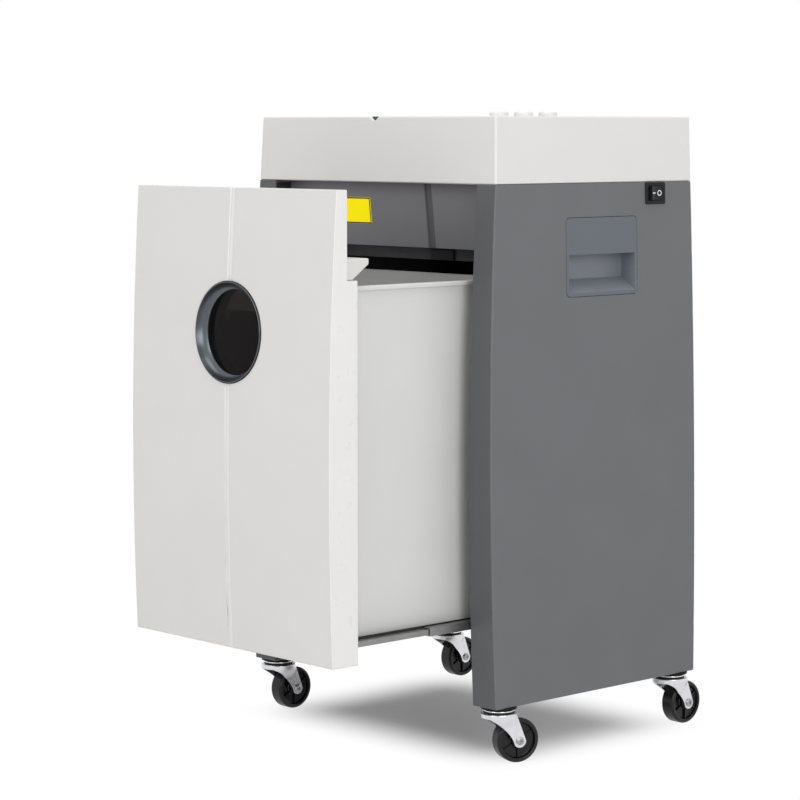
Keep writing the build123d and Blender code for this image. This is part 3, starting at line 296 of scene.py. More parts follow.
def span(tree, value, low, high, start=0.3, end=0.7):
    """Turns noise between start and end into a value between low and high."""
    ramp = tree.nodes.new("ShaderNodeMapRange")
    ramp.inputs["From Min"].default_value = start
    ramp.inputs["From Max"].default_value = end
    ramp.inputs["To Min"].default_value = low
    ramp.inputs["To Max"].default_value = high
    tree.links.new(value, ramp.inputs["Value"])
    return ramp.outputs["Result"]


def shade_between(tree, value, dark, light):
    """A colour between two, chosen by the noise."""
    mix = tree.nodes.new("ShaderNodeMix")
    mix.data_type = "RGBA"
    mix.inputs["A"].default_value = (*dark, 1)
    mix.inputs["B"].default_value = (*light, 1)
    tree.links.new(span(tree, value, 0, 1), mix.inputs["Factor"])
    return mix.outputs["Result"]


def dents(tree, shader, value, depth, before=None):
    """Raises the surface by the noise, depth metres from pit to peak."""
    bump = tree.nodes.new("ShaderNodeBump")
    bump.inputs["Distance"].default_value = depth
    tree.links.new(value, bump.inputs["Height"])
    if before is not None:
        tree.links.new(before, bump.inputs["Normal"])
    tree.links.new(bump.outputs["Normal"], shader.inputs["Normal"])
    return bump.outputs["Normal"]


print("noise tools ready")

# %% [markdown]
# ## Moulded plastic
# The grain is a bump a few hundredths of a millimetre deep. The drift mixes two tones a few hundredths apart.
# The sheen wanders by five hundredths of roughness, which is what keeps a highlight from looking printed.

# %% Moulded plastic
drift_size = 90 * mm
sheen_size = 24 * mm
sheen_wander = 0.05


def moulded(name, colour, roughness, grain=0.7 * mm, depth=0.03 * mm, drift=0.03, specular=0.4):
    """A moulded plastic: spark-eroded grain, slow drift of tone and uneven sheen."""
    material, tree, shader = new_finish(name, colour, roughness, specular=specular)
    slow = speckle(tree, drift_size, detail=3.0)
    dark = tuple(part * (1 - drift) for part in colour)
    light = tuple(min(part * (1 + drift), 1) for part in colour)
    tree.links.new(shade_between(tree, slow, dark, light), shader.inputs["Base Color"])
    sheen = speckle(tree, sheen_size, detail=4.0)
    wander = span(tree, sheen, roughness - sheen_wander, roughness + sheen_wander)
    tree.links.new(wander, shader.inputs["Roughness"])
    dents(tree, shader, speckle(tree, grain, detail=1.0), depth)
    return material


print("tone drifts over", round(drift_size / mm), "mm, sheen over", round(sheen_size / mm), "mm")

# %% [markdown]
# ## Plastics
# The cover and the drawer front are the same warm white moulding; the cover's copy is a few steps lighter,
# as painted light. The side panels are a dark neutral grey and the finger grips in them a bluer one, so they
# are separate mouldings. The waste bin is the same family of white but duller and coarser. The colours are
# screen greys, chosen so that each face renders at the tone it has in the picture.

# %% Plastics
finishes = {
    # The cover's white is the drawer front's white made a few steps lighter, as painted light.
    "cover_white": moulded("white_moulding_cover_painted_light", grey(222, (1, 0, -2)), 0.38, drift=0.012),
    "front_white": moulded("white_moulding_drawer", grey(217, (1, 0, -2)), 0.36, drift=0.012),
    "button_white": moulded("white_button_plastic", grey(226), 0.3, depth=0.005 * mm),
    "bin_grey": moulded("bin_plastic", grey(215, (1, 1, -1)), 0.45, grain=1.1 * mm, drift=0.02),
    "panel_grey": moulded("grey_panel_plastic", grey(103, (0, 1, 4)), 0.42),
    "cup_grey": moulded("blue_grey_grip_plastic", grey(101, (-4, 1, 9)), 0.4),
    "fascia_grey": moulded("fascia_plastic", grey(122, (0, 0, 5)), 0.38),
    "black_plastic": moulded("black_plastic", grey(24, (0, 0, 2)), 0.4, depth=0.01 * mm, specular=0.2),
    "lid_grey": moulded("lid_plastic", grey(70, (0, 0, 2)), 0.4),
    "wheel_rubber": moulded("hard_wheel_black", grey(22, (0, 0, 1)), 0.32, grain=0.4 * mm, depth=0.01 * mm,
                            specular=0.3),
    "board_green": moulded("board_lacquer", (0.01, 0.12, 0.05), 0.3, grain=3 * mm, depth=0.05 * mm,
                           drift=0.3),
}
print(len(finishes), "plastics")

# %% [markdown]
# ## Upright bands
# The drawer front has a shallow groove down its middle that is smoother than the grained faces beside it and
# is given a lighter tone, a painted highlight. The dark fascia above has a groove too, and beside it a darker
# strip of painted shade. Both are done the same way: the finish knows how far a point is from the band's
# middle, and mixes the other tone and sheen in over the band's width.

# %% Upright bands


def upright_band(material, middle, half, colour, roughness, fade=0.5 * mm):
    """Gives a finish another tone and sheen in a narrow upright band about X = middle."""
    tree = material.node_tree
    shader = tree.nodes["Principled BSDF"]
    where = tree.nodes.new("ShaderNodeTexCoord")
    split = tree.nodes.new("ShaderNodeSeparateXYZ")
    offset = tree.nodes.new("ShaderNodeMath")
    offset.operation = "SUBTRACT"
    offset.inputs[1].default_value = middle
    distance = tree.nodes.new("ShaderNodeMath")
    distance.operation = "ABSOLUTE"
    tree.links.new(where.outputs["Object"], split.inputs[0])
    tree.links.new(split.outputs["X"], offset.inputs[0])
    tree.links.new(offset.outputs[0], distance.inputs[0])
    band = span(tree, distance.outputs[0], 1, 0, half, half + fade)
    for socket, inside in (("Base Color", (*colour, 1)), ("Roughness", roughness)):
        outside = shader.inputs[socket].links[0].from_socket
        mix = tree.nodes.new("ShaderNodeMix")
        mix.data_type = "RGBA" if socket == "Base Color" else "FLOAT"
        ends = [socket_in for socket_in in mix.inputs if socket_in.enabled]
        tree.links.new(band, ends[0])
        tree.links.new(outside, ends[1])
        ends[2].default_value = inside
        result = next(out for out in mix.outputs if out.enabled)
        tree.links.new(result, shader.inputs[socket])


# The groove's lighter tone is a painted highlight; its lower roughness makes it smoother.
groove_highlight_half = 1.7 * mm
# The fascia's darker strip beside its groove is painted shade.
shade_strip_middle, shade_strip_half = 65.75 * mm, 5.75 * mm
upright_band(finishes["front_white"], 0.0, groove_highlight_half, grey(229, (1, 0, -1)), 0.28)
fascia_with_painted_shade = moulded("fascia_plastic_with_painted_shade_strip", grey(122, (0, 0, 5)), 0.38)
upright_band(fascia_with_painted_shade, shade_strip_middle, shade_strip_half, grey(88, (2, 0, 6)), 0.45)
print("groove", round(2 * groove_highlight_half / mm, 1), "mm, strip", round(2 * shade_strip_half / mm, 1), "mm wide")

# %% [markdown]
# ## Painted and plated sheet
# Powder coat isn't flat: it dries into a faint orange peel a few millimetres across. Zinc plate is bright
# but milky, with soft patches where the bath worked unevenly. Ground steel carries lines along the way it
# was ground, so its noise is stretched along one axis. All three are the same few nodes at other sizes.

# %% Painted and plated steel
coat_peel, coat_peel_depth = 2.2 * mm, 0.05 * mm
plate_grain, ground_line = 1.2 * mm, 0.3 * mm


def powder_coat(name, colour, roughness=0.5, specular=0.4):
    """Baked paint on sheet steel, with a faint orange peel."""
    material, tree, shader = new_finish(name, colour, roughness, specular=specular)
    tone = speckle(tree, 60 * mm, detail=3.0)
    dark = tuple(part * 0.9 for part in colour)
    tree.links.new(shade_between(tree, tone, dark, colour), shader.inputs["Base Color"])
    sheen = span(tree, speckle(tree, 12 * mm), roughness - 0.08, roughness + 0.06)
    tree.links.new(sheen, shader.inputs["Roughness"])
    dents(tree, shader, speckle(tree, coat_peel, detail=1.0), coat_peel_depth)
    return material


def plated(name, colour, low_roughness, high_roughness, patch=7 * mm, line=None, depth=0.01 * mm, dull=0.85):
    """A bare or plated metal: patchy sheen, and fine lines along the axis of line if it is given."""
    material, tree, shader = new_finish(name, colour, high_roughness, metallic=1.0)
    patches = speckle(tree, patch, detail=3.0)
    dark = tuple(part * dull for part in colour)
    tree.links.new(shade_between(tree, patches, dark, colour), shader.inputs["Base Color"])
    sheen = span(tree, speckle(tree, patch / 2), low_roughness, high_roughness)
    tree.links.new(sheen, shader.inputs["Roughness"])
    if line is None:
        dents(tree, shader, speckle(tree, plate_grain), depth)
    else:
        dents(tree, shader, speckle(tree, ground_line, stretch=line), depth)
    return material


print("orange peel", round(coat_peel / mm, 1), "mm across")

# %% [markdown]
# ## Window, ring and notice
# Three finishes belong to one solid each. The window is tinted, so its material lets light through, and its
# low refractive index stands for an anti-glare coating. The ring is metallic paint with flakes a quarter of a
# millimetre wide under a clear coat. The notice glows a little by itself. That isn't a known material: the
# glow's strength is picked so that the yellow renders at the tone it has in the picture.

# %% Window, ring and notice


def smoked_window():
    """Acrylic tinted nearly black, with a coating that takes most of its reflection away."""
    material, tree, shader = new_finish("smoked_window", (0.055, 0.046, 0.045), 0.03)
    shader.inputs["Transmission Weight"].default_value = 0.92
    shader.inputs["IOR"].default_value = 1.14
    swirl = speckle(tree, 30 * mm, detail=2.0)
    tree.links.new(span(tree, swirl, 0.015, 0.05), shader.inputs["Roughness"])
    return material


def gunmetal():
    """Dark metallic paint under a clear coat, with fine flakes in it."""
    material, tree, shader = new_finish("gunmetal_ring", (0.09, 0.10, 0.11), 0.3, metallic=0.8)
    shader.inputs["Coat Weight"].default_value = 0.3
    shader.inputs["Coat Roughness"].default_value = 0.2
    flakes = speckle(tree, 0.25 * mm, detail=0.0)
    paint = shade_between(tree, flakes, (0.06, 0.07, 0.08), (0.13, 0.145, 0.155))
    tree.links.new(paint, shader.inputs["Base Color"])
    tree.links.new(span(tree, speckle(tree, 40 * mm), 0.27, 0.33), shader.inputs["Roughness"])
    return material


def notice_film():
    """A yellow film with a small glow of its own."""
    material, tree, shader = new_finish("yellow_film", (0.97, 0.86, 0.0), 0.42, specular=0.1)
    shader.inputs["Emission Color"].default_value = (1.0, 0.78, 0.0, 1)
    shader.inputs["Emission Strength"].default_value = 0.34
    tone = speckle(tree, 18 * mm)
    film = shade_between(tree, tone, (0.96, 0.83, 0.0), (1.0, 0.9, 0.0))
    tree.links.new(film, shader.inputs["Base Color"])
    dents(tree, shader, speckle(tree, 5 * mm, detail=3.0), 0.05 * mm)
    return material


finishes["smoked_glass"] = smoked_window()
finishes["ring_gunmetal"] = gunmetal()
finishes["notice_yellow"] = notice_film()
print("three single finishes")

# %% Steels, zinc and bronze
finishes["frame_steel"] = powder_coat("charcoal_powder_coat", grey(52, (0, 0, 2)))
finishes["tray_black"] = powder_coat("black_powder_coat", grey(34))
finishes["runner_steel"] = plated("runner_zinc", (0.30, 0.30, 0.30), 0.3, 0.5, line=(1, 40, 1))
finishes["zinc"] = plated("bright_zinc", (0.74, 0.74, 0.78), 0.22, 0.34, depth=0.002 * mm, dull=0.9)
finishes["stem_black"] = powder_coat("black_oxide", grey(18), specular=0.15)
finishes["cutter_steel"] = plated("ground_cutter_steel", (0.42, 0.41, 0.40), 0.25, 0.45, line=(1, 1, 30),
                                  depth=0.02 * mm)
finishes["gear_steel"] = plated("oiled_gear_steel", (0.36, 0.34, 0.31), 0.2, 0.4)
finishes["plate_steel"] = plated("sheet_zinc", (0.55, 0.56, 0.57), 0.3, 0.48, patch=14 * mm)
finishes["bronze"] = plated("bush_bronze", (0.58, 0.37, 0.16), 0.3, 0.45)
finishes["motor_black"] = powder_coat("motor_enamel", grey(34))
chrome_race = plated("chrome_race", (0.86, 0.87, 0.88), 0.06, 0.14)
print(len(finishes), "finishes in all")

# %% Put every finish on its nodes
for node, thing in nodes.items():
    thing.data.materials.clear()
    thing.data.materials.append(finishes[slot_of_node[node]])
print("every node has its finish")

# %% [markdown]
# ## Tools for shapes
# Three tools make nearly all the shapes below. `rounded_copy` takes a solid whose form is right and rounds
# its edges, because a real moulding has no knife edges and it is the rounded edge that catches the light.
# `lathe` spins an outline about an axis, for everything that was turned. `plate` gives thickness to an
# outline, for everything that was cut from sheet. Each ends in `make_piece`, which puts the shape on the
# body that it moves with and hides the solid it stands for.

# %% Making a piece


def settle(thing):
    """Applies the modifiers, so that the mesh is what it looks like."""
    graph = bpy.context.evaluated_depsgraph_get()
    made = bpy.data.meshes.new_from_object(thing.evaluated_get(graph), depsgraph=graph)
    old = thing.data
    thing.modifiers.clear()
    thing.data = made
    bpy.data.meshes.remove(old)
    made.name = thing.name


def make_piece(name, form, body, slot, stands_for=(), finish=None, crease=35):
    """Turns a bmesh into a piece that rides on a body, shaded smooth up to the crease angle."""
    bmesh.ops.recalc_face_normals(form, faces=form.faces)
    mesh = bpy.data.meshes.new(name)
    form.to_mesh(mesh)
    form.free()
    mesh.materials.append(finish or finishes[slot])
    mesh.shade_smooth()
    mesh.set_sharp_from_angle(angle=math.radians(crease))
    thing = bpy.data.objects.new(name, mesh)
    scene.collection.objects.link(thing)
    flats = thing.modifiers.new("flats_stay_flat", "WEIGHTED_NORMAL")
    flats.keep_sharp = True
    settle(thing)
    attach(thing, body)
    if stands_for:
        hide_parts(*stands_for)
    return thing


print("make_piece ready")

# %% Rounding
bevel_steps = 2
sharp_turn = math.radians(28)
same_place = 0.01 * mm


def round_edges(form, width):
    """Bevels every edge that turns by more than sharp_turn."""
    edges = [edge for edge in form.edges if edge.is_manifold and edge.calc_face_angle() > sharp_turn]
    bmesh.ops.bevel(form, geom=edges, offset=width, offset_type="OFFSET", segments=bevel_steps, profile=0.5,
                    affect="EDGES", clamp_overlap=False, loop_slide=False)


def rounded_copy(node, width):
    """The solid of a node with its edges rounded; it stands for that node.

    The solid comes as triangles and they are left as they are. Joined into one face, a wall with a window
    in it can't be split again without covering the window.
    """
    form = bmesh.new()
    form.from_mesh(nodes[node].data)
    bmesh.ops.remove_doubles(form, verts=form.verts, dist=same_place)
    round_edges(form, width)
    return make_piece(node + "_rounded", form, body_of_node[node], slot_of_node[node], [node])


print("edges that turn by more than", round(math.degrees(sharp_turn)), "degrees get rounded")

# %% Turning and cutting from sheet


def lathe(outline, turns=64):
    """Spins a closed outline of (radius, height) about Z."""
    form = bmesh.new()
    rings = []
    for step in range(turns):
        angle = 2 * math.pi * step / turns
        ring = [form.verts.new((radius * math.cos(angle), radius * math.sin(angle), height))
                for radius, height in outline]
        rings.append(ring)
    for step in range(turns):
        here, there = rings[step], rings[(step + 1) % turns]
        for index in range(len(outline)):
            after = (index + 1) % len(outline)
            form.faces.new((here[index], there[index], there[after], here[after]))
    bmesh.ops.remove_doubles(form, verts=form.verts, dist=0.1 * same_place)
    return form


def arc_points(centre, radius, start, end, count):
    """Points along an arc, from one angle in degrees to another."""
    angles = [math.radians(start + (end - start) * step / (count - 1)) for step in range(count)]
    return [(centre[0] + radius * math.cos(angle), centre[1] + radius * math.sin(angle)) for angle in angles]


def plate(outline, thickness):
    """Gives thickness to a flat outline of (x, y), upwards from z = 0."""
    form = bmesh.new()
    low = [form.verts.new((x, y, 0)) for x, y in outline]
    high = [form.verts.new((x, y, thickness)) for x, y in outline]
    form.faces.new(list(reversed(low)))
    form.faces.new(high)
    for index in range(len(outline)):
        after = (index + 1) % len(outline)
        form.faces.new((low[index], low[after], high[after], high[index]))
    return form


def place(form, matrix):
    """Moves and turns a form."""
    bmesh.ops.transform(form, matrix=matrix, verts=form.verts)
    return form


def merged(*forms):
    """Puts several forms into one."""
    whole = bmesh.new()
    for form in forms:
        part = bpy.data.meshes.new("part")
        form.to_mesh(part)
        form.free()
        whole.from_mesh(part)
        bpy.data.meshes.remove(part)
    return whole


print("shape tools ready")

# %% [markdown]
# ## Rounded mouldings
# The big forms of this machine are flat faces and long edges, so nearly all of the picture's small light
# comes from edges: a bright line down the cover's corner, another under its rim, a thin one round the drawer
# front. The widths below are in millimetres. They are usual values for such parts and weren't measured. Some
# mouldings carry a second tone: the side panels are darker and duller on their front edge, as painted shade,
# the drawer front is lighter on its two sides and the grips are lighter inside, both as painted light. The
# last two are picked to match the picture's tone, not taken from a known material.

# %% Edge widths and painted light and shade
edge_widths = {
    "top_cover": 0.7, "side_panel_right": 0.8, "side_panel_left": 0.8, "drawer_front": 0.8,
    "drawer_ledge": 1.5, "waste_bin": 0.6, "head_fascia": 0.4, "handle_cup_right": 0.5,
    "handle_cup_left": 0.5, "fascia_rail": 0.4, "interlock_sensor": 0.3, "switch_housing": 0.3,
    "switch_rocker": 0.3, "feed_lid": 0.5, "mains_inlet": 0.3, "drawer_tray": 0.3, "gearbox": 1.0,
    "caster_stems": 0.4,
}
squarely = 0.9
grip_face = 196.5 * mm
# The panels' front faces get a darker copy of the panel grey: painted shade.
panel_front_painted_shade = moulded("grey_panel_front_painted_shade", grey(87, (0, 1, 4)), 0.46)
# The drawer front's two sides get a lighter copy of its white, as painted light.
door_sides_painted_light = moulded("white_moulding_sides_painted_light", grey(230, (1, 0, -1)), 0.3, drift=0.012)
# The grips are lighter inside than their own grey, as painted light against the shade in their pockets.
grip_inside_painted_light = moulded("grip_inside_painted_light", grey(126, (-4, 1, 9)), 0.4)
painted_tones = {
    "side_panel_right": (panel_front_painted_shade, lambda face: face.normal.y < -squarely),
    "side_panel_left": (panel_front_painted_shade, lambda face: face.normal.y < -squarely),
    "drawer_front": (door_sides_painted_light, lambda face: abs(face.normal.x) > squarely),
    "handle_cup_right": (grip_inside_painted_light, lambda face: abs(face.center.x) < grip_face),
    "handle_cup_left": (grip_inside_painted_light, lambda face: abs(face.center.x) < grip_face),
}
print(len(edge_widths), "mouldings to round,", len(painted_tones), "with painted light and shade")

# %% Rounded mouldings
for node, width in edge_widths.items():
    piece = rounded_copy(node, width * mm)
    # Some mouldings get a lighter or darker copy of their colour on chosen faces: painted light and shade.
    if node in painted_tones:
        other, chosen = painted_tones[node]
        piece.data.materials.append(other)
        for face in piece.data.polygons:
            if chosen(face):
                face.material_index = 1
    # The fascia takes the finish with its strip of painted shade.
    if node == "head_fascia":
        piece.data.materials[0] = fascia_with_painted_shade
    print(piece.name, len(piece.data.polygons), "faces")

# %% [markdown]
# ## The window ring
# The ring is a turned funnel: a thin bright lip outside, then a hollow that dives 11 mm to the window. It is
# the shiniest thing on the front, and a coarse ring would break its highlight into steps, so it is spun
# again here with 128 steps and a softly curved hollow.

# %% Window ring
ring_low, ring_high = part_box("window_ring")
lens_low, lens_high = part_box("window_lens")
ring_middle = (ring_low + ring_high) / 2
ring_radius = (ring_high.x - ring_low.x) / 2
lens_thick = 3 * mm
ring_tilt = math.asin((lens_high.y - lens_low.y - lens_thick) / (lens_high.z - lens_low.z))
ring_depth = 11 * mm
ring_proud = 1.5 * mm
ring_throat = 46.5 * mm
ring_barrel = 53.6 * mm
black_rim_width = 1.0 * mm


def ring_outline():
    """From the barrel round the lip and down the hollow, as (radius, depth)."""
    lip = ring_radius - black_rim_width
    outline = [(ring_barrel, ring_depth), (ring_barrel, 0.0), (lip, 0.0)]
    outline += arc_points((lip - 0.8 * mm, -ring_proud + 0.8 * mm), 0.8 * mm, 0, -100, 8)
    start, end = outline[-1], (ring_throat, ring_depth - 1.6 * mm)
    for step in range(1, 14):
        share = step / 14
        sag = 1.3 * mm * math.sin(math.pi * share)
        outline.append((start[0] + (end[0] - start[0]) * share + sag * 0.4,
                        start[1] + (end[1] - start[1]) * share + sag))
    outline += [end, (ring_throat, ring_depth)]
    return outline


ring_front = ring_low.y + ring_proud + ring_radius * math.sin(ring_tilt)
ring_place = Matrix.Translation((0, ring_front, ring_middle.z))
ring_turn = Matrix.Rotation(-ring_tilt, 4, "X") @ Matrix.Rotation(math.radians(-90), 4, "X")
ring = place(lathe(ring_outline(), 128), ring_place @ ring_turn)
window_ring = make_piece("window_ring_turned", ring, "drawer", "ring_gunmetal", ["window_ring"], crease=50)
print("ring radius", round(ring_radius / mm, 1), "mm, centre height", round(ring_middle.z / mm, 1), "mm")

# %% Window's black rim
# A thin black ring round the window ring's lip.
black_rim_top = 0.9 * mm
black_rim_outline = [(ring_radius - black_rim_width, 0.3 * mm), (ring_radius - black_rim_width, -black_rim_top)]
black_rim_outline += arc_points((ring_radius - 0.5 * mm, 0.5 * mm - black_rim_top), 0.5 * mm, -60, 0, 5)
black_rim_outline.append((ring_radius, 0.3 * mm))
black_rim = place(lathe(black_rim_outline, 128), ring_place @ ring_turn)
make_piece("window_black_rim", black_rim, "drawer", "ring_gunmetal", finish=finishes["black_plastic"])
print("black_rim", round(black_rim_width / mm, 1), "mm wide")

# %% [markdown]
# ## The window
# Behind the ring sits a disc of smoked acrylic. It is nearly black from outside: the tint swallows light on
# the way in and again on the way out. The front is crowned by less than a millimetre, so that it gathers
# highlights instead of mirroring the room flat.

# %% Window lens
lens_radius = (lens_high.x - lens_low.x) / 2
lens_crown = 0.8 * mm


def lens_outline():
    """From the middle of the crowned front out to the rim and back behind, as (radius, depth)."""
    steps = 12
    inside = ring_throat - 0.3 * mm
    outline = [(inside * step / steps, ring_depth - lens_crown * (1 - (step / steps) ** 2))
               for step in range(steps + 1)]
    rim = 0.4 * mm
    outline += [(lens_radius - rim, ring_depth), (lens_radius, ring_depth + rim)]
    outline += [(lens_radius, ring_depth + lens_thick - rim), (lens_radius - rim, ring_depth + lens_thick)]
    outline.append((0, ring_depth + lens_thick))
    return outline


lens_form = place(lathe(lens_outline(), 128), ring_place @ ring_turn)
make_piece("window_lens_turned", lens_form, "drawer", "smoked_glass", ["window_lens"], crease=30)
print("lens radius", round(lens_radius / mm, 1), "mm")

# %% [markdown]
# ## Reading the solids
# Small parts below are placed by what the solids say, so that nothing is measured twice. `islands` gives the
# box of each separate solid in a node, and `broad_face` gives the middle and direction of the widest flat
# face that looks a given way.

# %% Tools for reading the solids


def islands(node):
    """The lowest and highest corner of each separate solid of a node."""
    form = bmesh.new()
    form.from_mesh(nodes[node].data)
    bmesh.ops.remove_doubles(form, verts=form.verts, dist=same_place)
    left, boxes = set(form.verts), []
    while left:
        queue, found = [left.pop()], []
        while queue:
            vert = queue.pop()
            found.append(vert.co.copy())
            for edge in vert.link_edges:
                other = edge.other_vert(vert)
                if other in left:
                    left.remove(other)
                    queue.append(other)
        boxes.append((Vector([min(co[axis] for co in found) for axis in range(3)]),
                      Vector([max(co[axis] for co in found) for axis in range(3)])))
    form.free()
    return sorted(boxes, key=lambda box: tuple(box[0]))


def broad_face(node, toward, keep=lambda middle: True):
    """The middle and normal of a node's widest flat face that looks along toward and is worth keeping."""
    mesh = nodes[node].data
    facing = [face for face in mesh.polygons if face.normal.dot(toward) > squarely and keep(face.center)]
    groups = {}
    for face in facing:
        groups.setdefault(tuple(round(value, 2) for value in face.normal), []).append(face)
    widest = max(groups.values(), key=lambda faces: sum(face.area for face in faces))
    area = sum(face.area for face in widest)
    middle = sum((face.center * face.area for face in widest), Vector()) / area
    return middle, widest[0].normal.copy()


def upright(middle, normal):
    """A place on a face: local Z looks out of it and local Y points up."""
    side = Vector((0, 0, 1)).cross(normal).normalized()
    top = normal.cross(side).normalized()
    turn = Matrix((side, top, normal)).transposed().to_4x4()
    return Matrix.Translation(middle) @ turn


print(len(islands("rear_panel_screws")), "rear screws")

# %% [markdown]
# ## Screw heads
# A pan head is a low dome with a rounded shoulder and a cross recess. The dome is turned. The recess is a
# plus-shaped plate cut out of it: a boolean is the right tool here, because the recess crosses the dome and
# its edges have to stay crisp.

# %% Tools for screws


def carve(form, cutter):
    """Cuts one form out of another."""
    pair = []
    for shape in (form, cutter):
        bmesh.ops.recalc_face_normals(shape, faces=shape.faces)
        mesh = bpy.data.meshes.new("carving")
        shape.to_mesh(mesh)
        shape.free()
        thing = bpy.data.objects.new("carving", mesh)
        scene.collection.objects.link(thing)
        pair.append(thing)
    cut = pair[0].modifiers.new("cut", "BOOLEAN")
    cut.solver = "EXACT"
    cut.object = pair[1]
    settle(pair[0])
    result = bmesh.new()
    result.from_mesh(pair[0].data)
    for thing in pair:
        mesh = thing.data
        bpy.data.objects.remove(thing)
        bpy.data.meshes.remove(mesh)
    return result


def cross_outline(reach, half):
    """A plus sign, as (x, y) all the way round."""
    quarter = [(reach, -half), (reach, half), (half, half)]
    outline = []
    for turn in range(4):
        sine, cosine = round(math.sin(turn * math.pi / 2)), round(math.cos(turn * math.pi / 2))
        outline += [(x * cosine - y * sine, x * sine + y * cosine) for x, y in quarter]
    return outline


print("carving tools ready")

# %% Pan head
shoulder_share, skirt_share = 0.45, 0.8
recess_reach_share, recess_half_share = 0.55, 0.11
dome_shares = (0.8, 0.55, 0.3, 0)


def pan_head(radius, height, depth):
    """A pan head standing on z = 0, with a cross recess of that depth."""
    shoulder = shoulder_share * height
    outline = [(0, 0), (radius, 0)]
    outline += arc_points((radius - shoulder, height * skirt_share - shoulder), shoulder, 0, 70, 6)
    edge, rise = outline[-1][0], height - outline[-1][1]
    outline += [(edge * share, height - rise * share ** 2) for share in dome_shares]
    dome = lathe(outline, 40)
    cross = cross_outline(radius * recess_reach_share, radius * recess_half_share)
    recess = place(plate(cross, 2 * height), Matrix.Translation((0, 0, height - depth)))
    return carve(dome, recess)


print("a pan head's skirt is", skirt_share, "of its height")

# %% Rear screws
head_height, recess_depth, shank_radius = 1.8 * mm, 1.0 * mm, 1.6 * mm
along_y = Matrix.Rotation(math.radians(-90), 4, "X")
heads = []
for low, high in islands("rear_panel_screws"):
    radius, middle = (high.x - low.x) / 2, (low + high) / 2
    head = pan_head(radius, head_height, recess_depth)
    heads.append(place(head, Matrix.Translation((middle.x, high.y - head_height, middle.z)) @ along_y))
    reach = high.y - head_height - low.y
    shank = lathe([(0, 0), (shank_radius, 0), (shank_radius, reach), (0, reach)], 24)
    heads.append(place(shank, Matrix.Translation((middle.x, low.y, middle.z)) @ along_y))
slot = slot_of_node["rear_panel_screws"]
make_piece("rear_screws_turned", merged(*heads), "cabinet", slot, ["rear_panel_screws"])
print(len(heads) // 2, "screws with cross recesses")

# %% [markdown]
# ## Casters
# A twin-bearing plate caster is a stamping: a round crown that carries the ball race, and two legs that grow
# out of the crown's edge and run down to the axle. The front edge of each leg sweeps back in a hollow curve.
# A leg is built here as a closed grid of rows from the eye up to the crown. Each row runs from the front edge
# to the rear edge, and towards the top the rows bulge out until they meet the crown's circle. That bulge is
# what a plain extruded leg lacks.

# %% Caster sizes
corners = ("front_left", "front_right", "rear_left", "rear_right")
joint_of = {joint["name"]: joint for joint in record["behaviour"]["joints"]}
trail = 20 * mm
axle_height = 25 * mm
crown_low = joint_of["caster_swivel_front_left"]["pos_m"][2]
crown_radius = 20.5 * mm
race_low, race_top, race_radius = crown_low + 4.1 * mm, crown_low + 6.6 * mm, 17.5 * mm
leg_out, leg_thick = 12.4 * mm, 2.2 * mm
leg_root = math.sqrt(crown_radius ** 2 - leg_out ** 2)
eye_radius = 7.5 * mm
apron_low = crown_low - 3 * mm
eye_turn = math.radians(215)


def caster_place(corner):
    """Turns a caster drawn about its swivel axis, trailing along +Y, and puts it under its corner."""
    swivel = joint_of["caster_swivel_" + corner]["pos_m"]
    axle = joint_of["wheel_spin_" + corner]["axis"]
    turn = Matrix.Rotation(math.atan2(axle[1], axle[0]), 4, "Z")
    return Matrix.Translation((swivel[0], swivel[1], 0)) @ turn


print("crown", round(crown_low / mm, 1), "mm above the floor")

# %% Outline of a leg
sweep_depth = 5.7 * mm


def leg_front(z):
    """The Y of a leg's front edge: round the eye, then the hollow sweep, then the apron."""
    start = (trail + eye_radius * math.cos(eye_turn), axle_height + eye_radius * math.sin(eye_turn))
    if z <= start[1]:
        return trail - math.sqrt(max(eye_radius ** 2 - (z - axle_height) ** 2, 0))
    if z >= apron_low:
        return -leg_root
    share = (z - start[1]) / (apron_low - start[1])
    straight = start[0] + (-leg_root - start[0]) * share
    return straight + 4 * sweep_depth * share * (1 - share)


def leg_rear(z):
    """The Y of a leg's rear edge: round the eye, then straight up to the crown."""
    if z <= axle_height:
        return trail + math.sqrt(max(eye_radius ** 2 - (z - axle_height) ** 2, 0))
    share = (z - axle_height) / (crown_low - axle_height)
    return trail + eye_radius + (leg_root - trail - eye_radius) * share


print("the front edge sweeps back by", round(sweep_depth / mm, 1), "mm")

# %% [markdown]
# ## The leg as a grid
# Two skins of points, an outer and an inner one, are joined at their borders into a closed plate. Rows are
# set closer together near the eye, where the outline turns fastest. The border is then bevelled by a quarter
# of a millimetre, which gives the bright line along the leg's edge.

# %% Leg
flare_height = 17 * mm
crown_overlap = 1.2 * mm
leg_bevel = 0.25 * mm


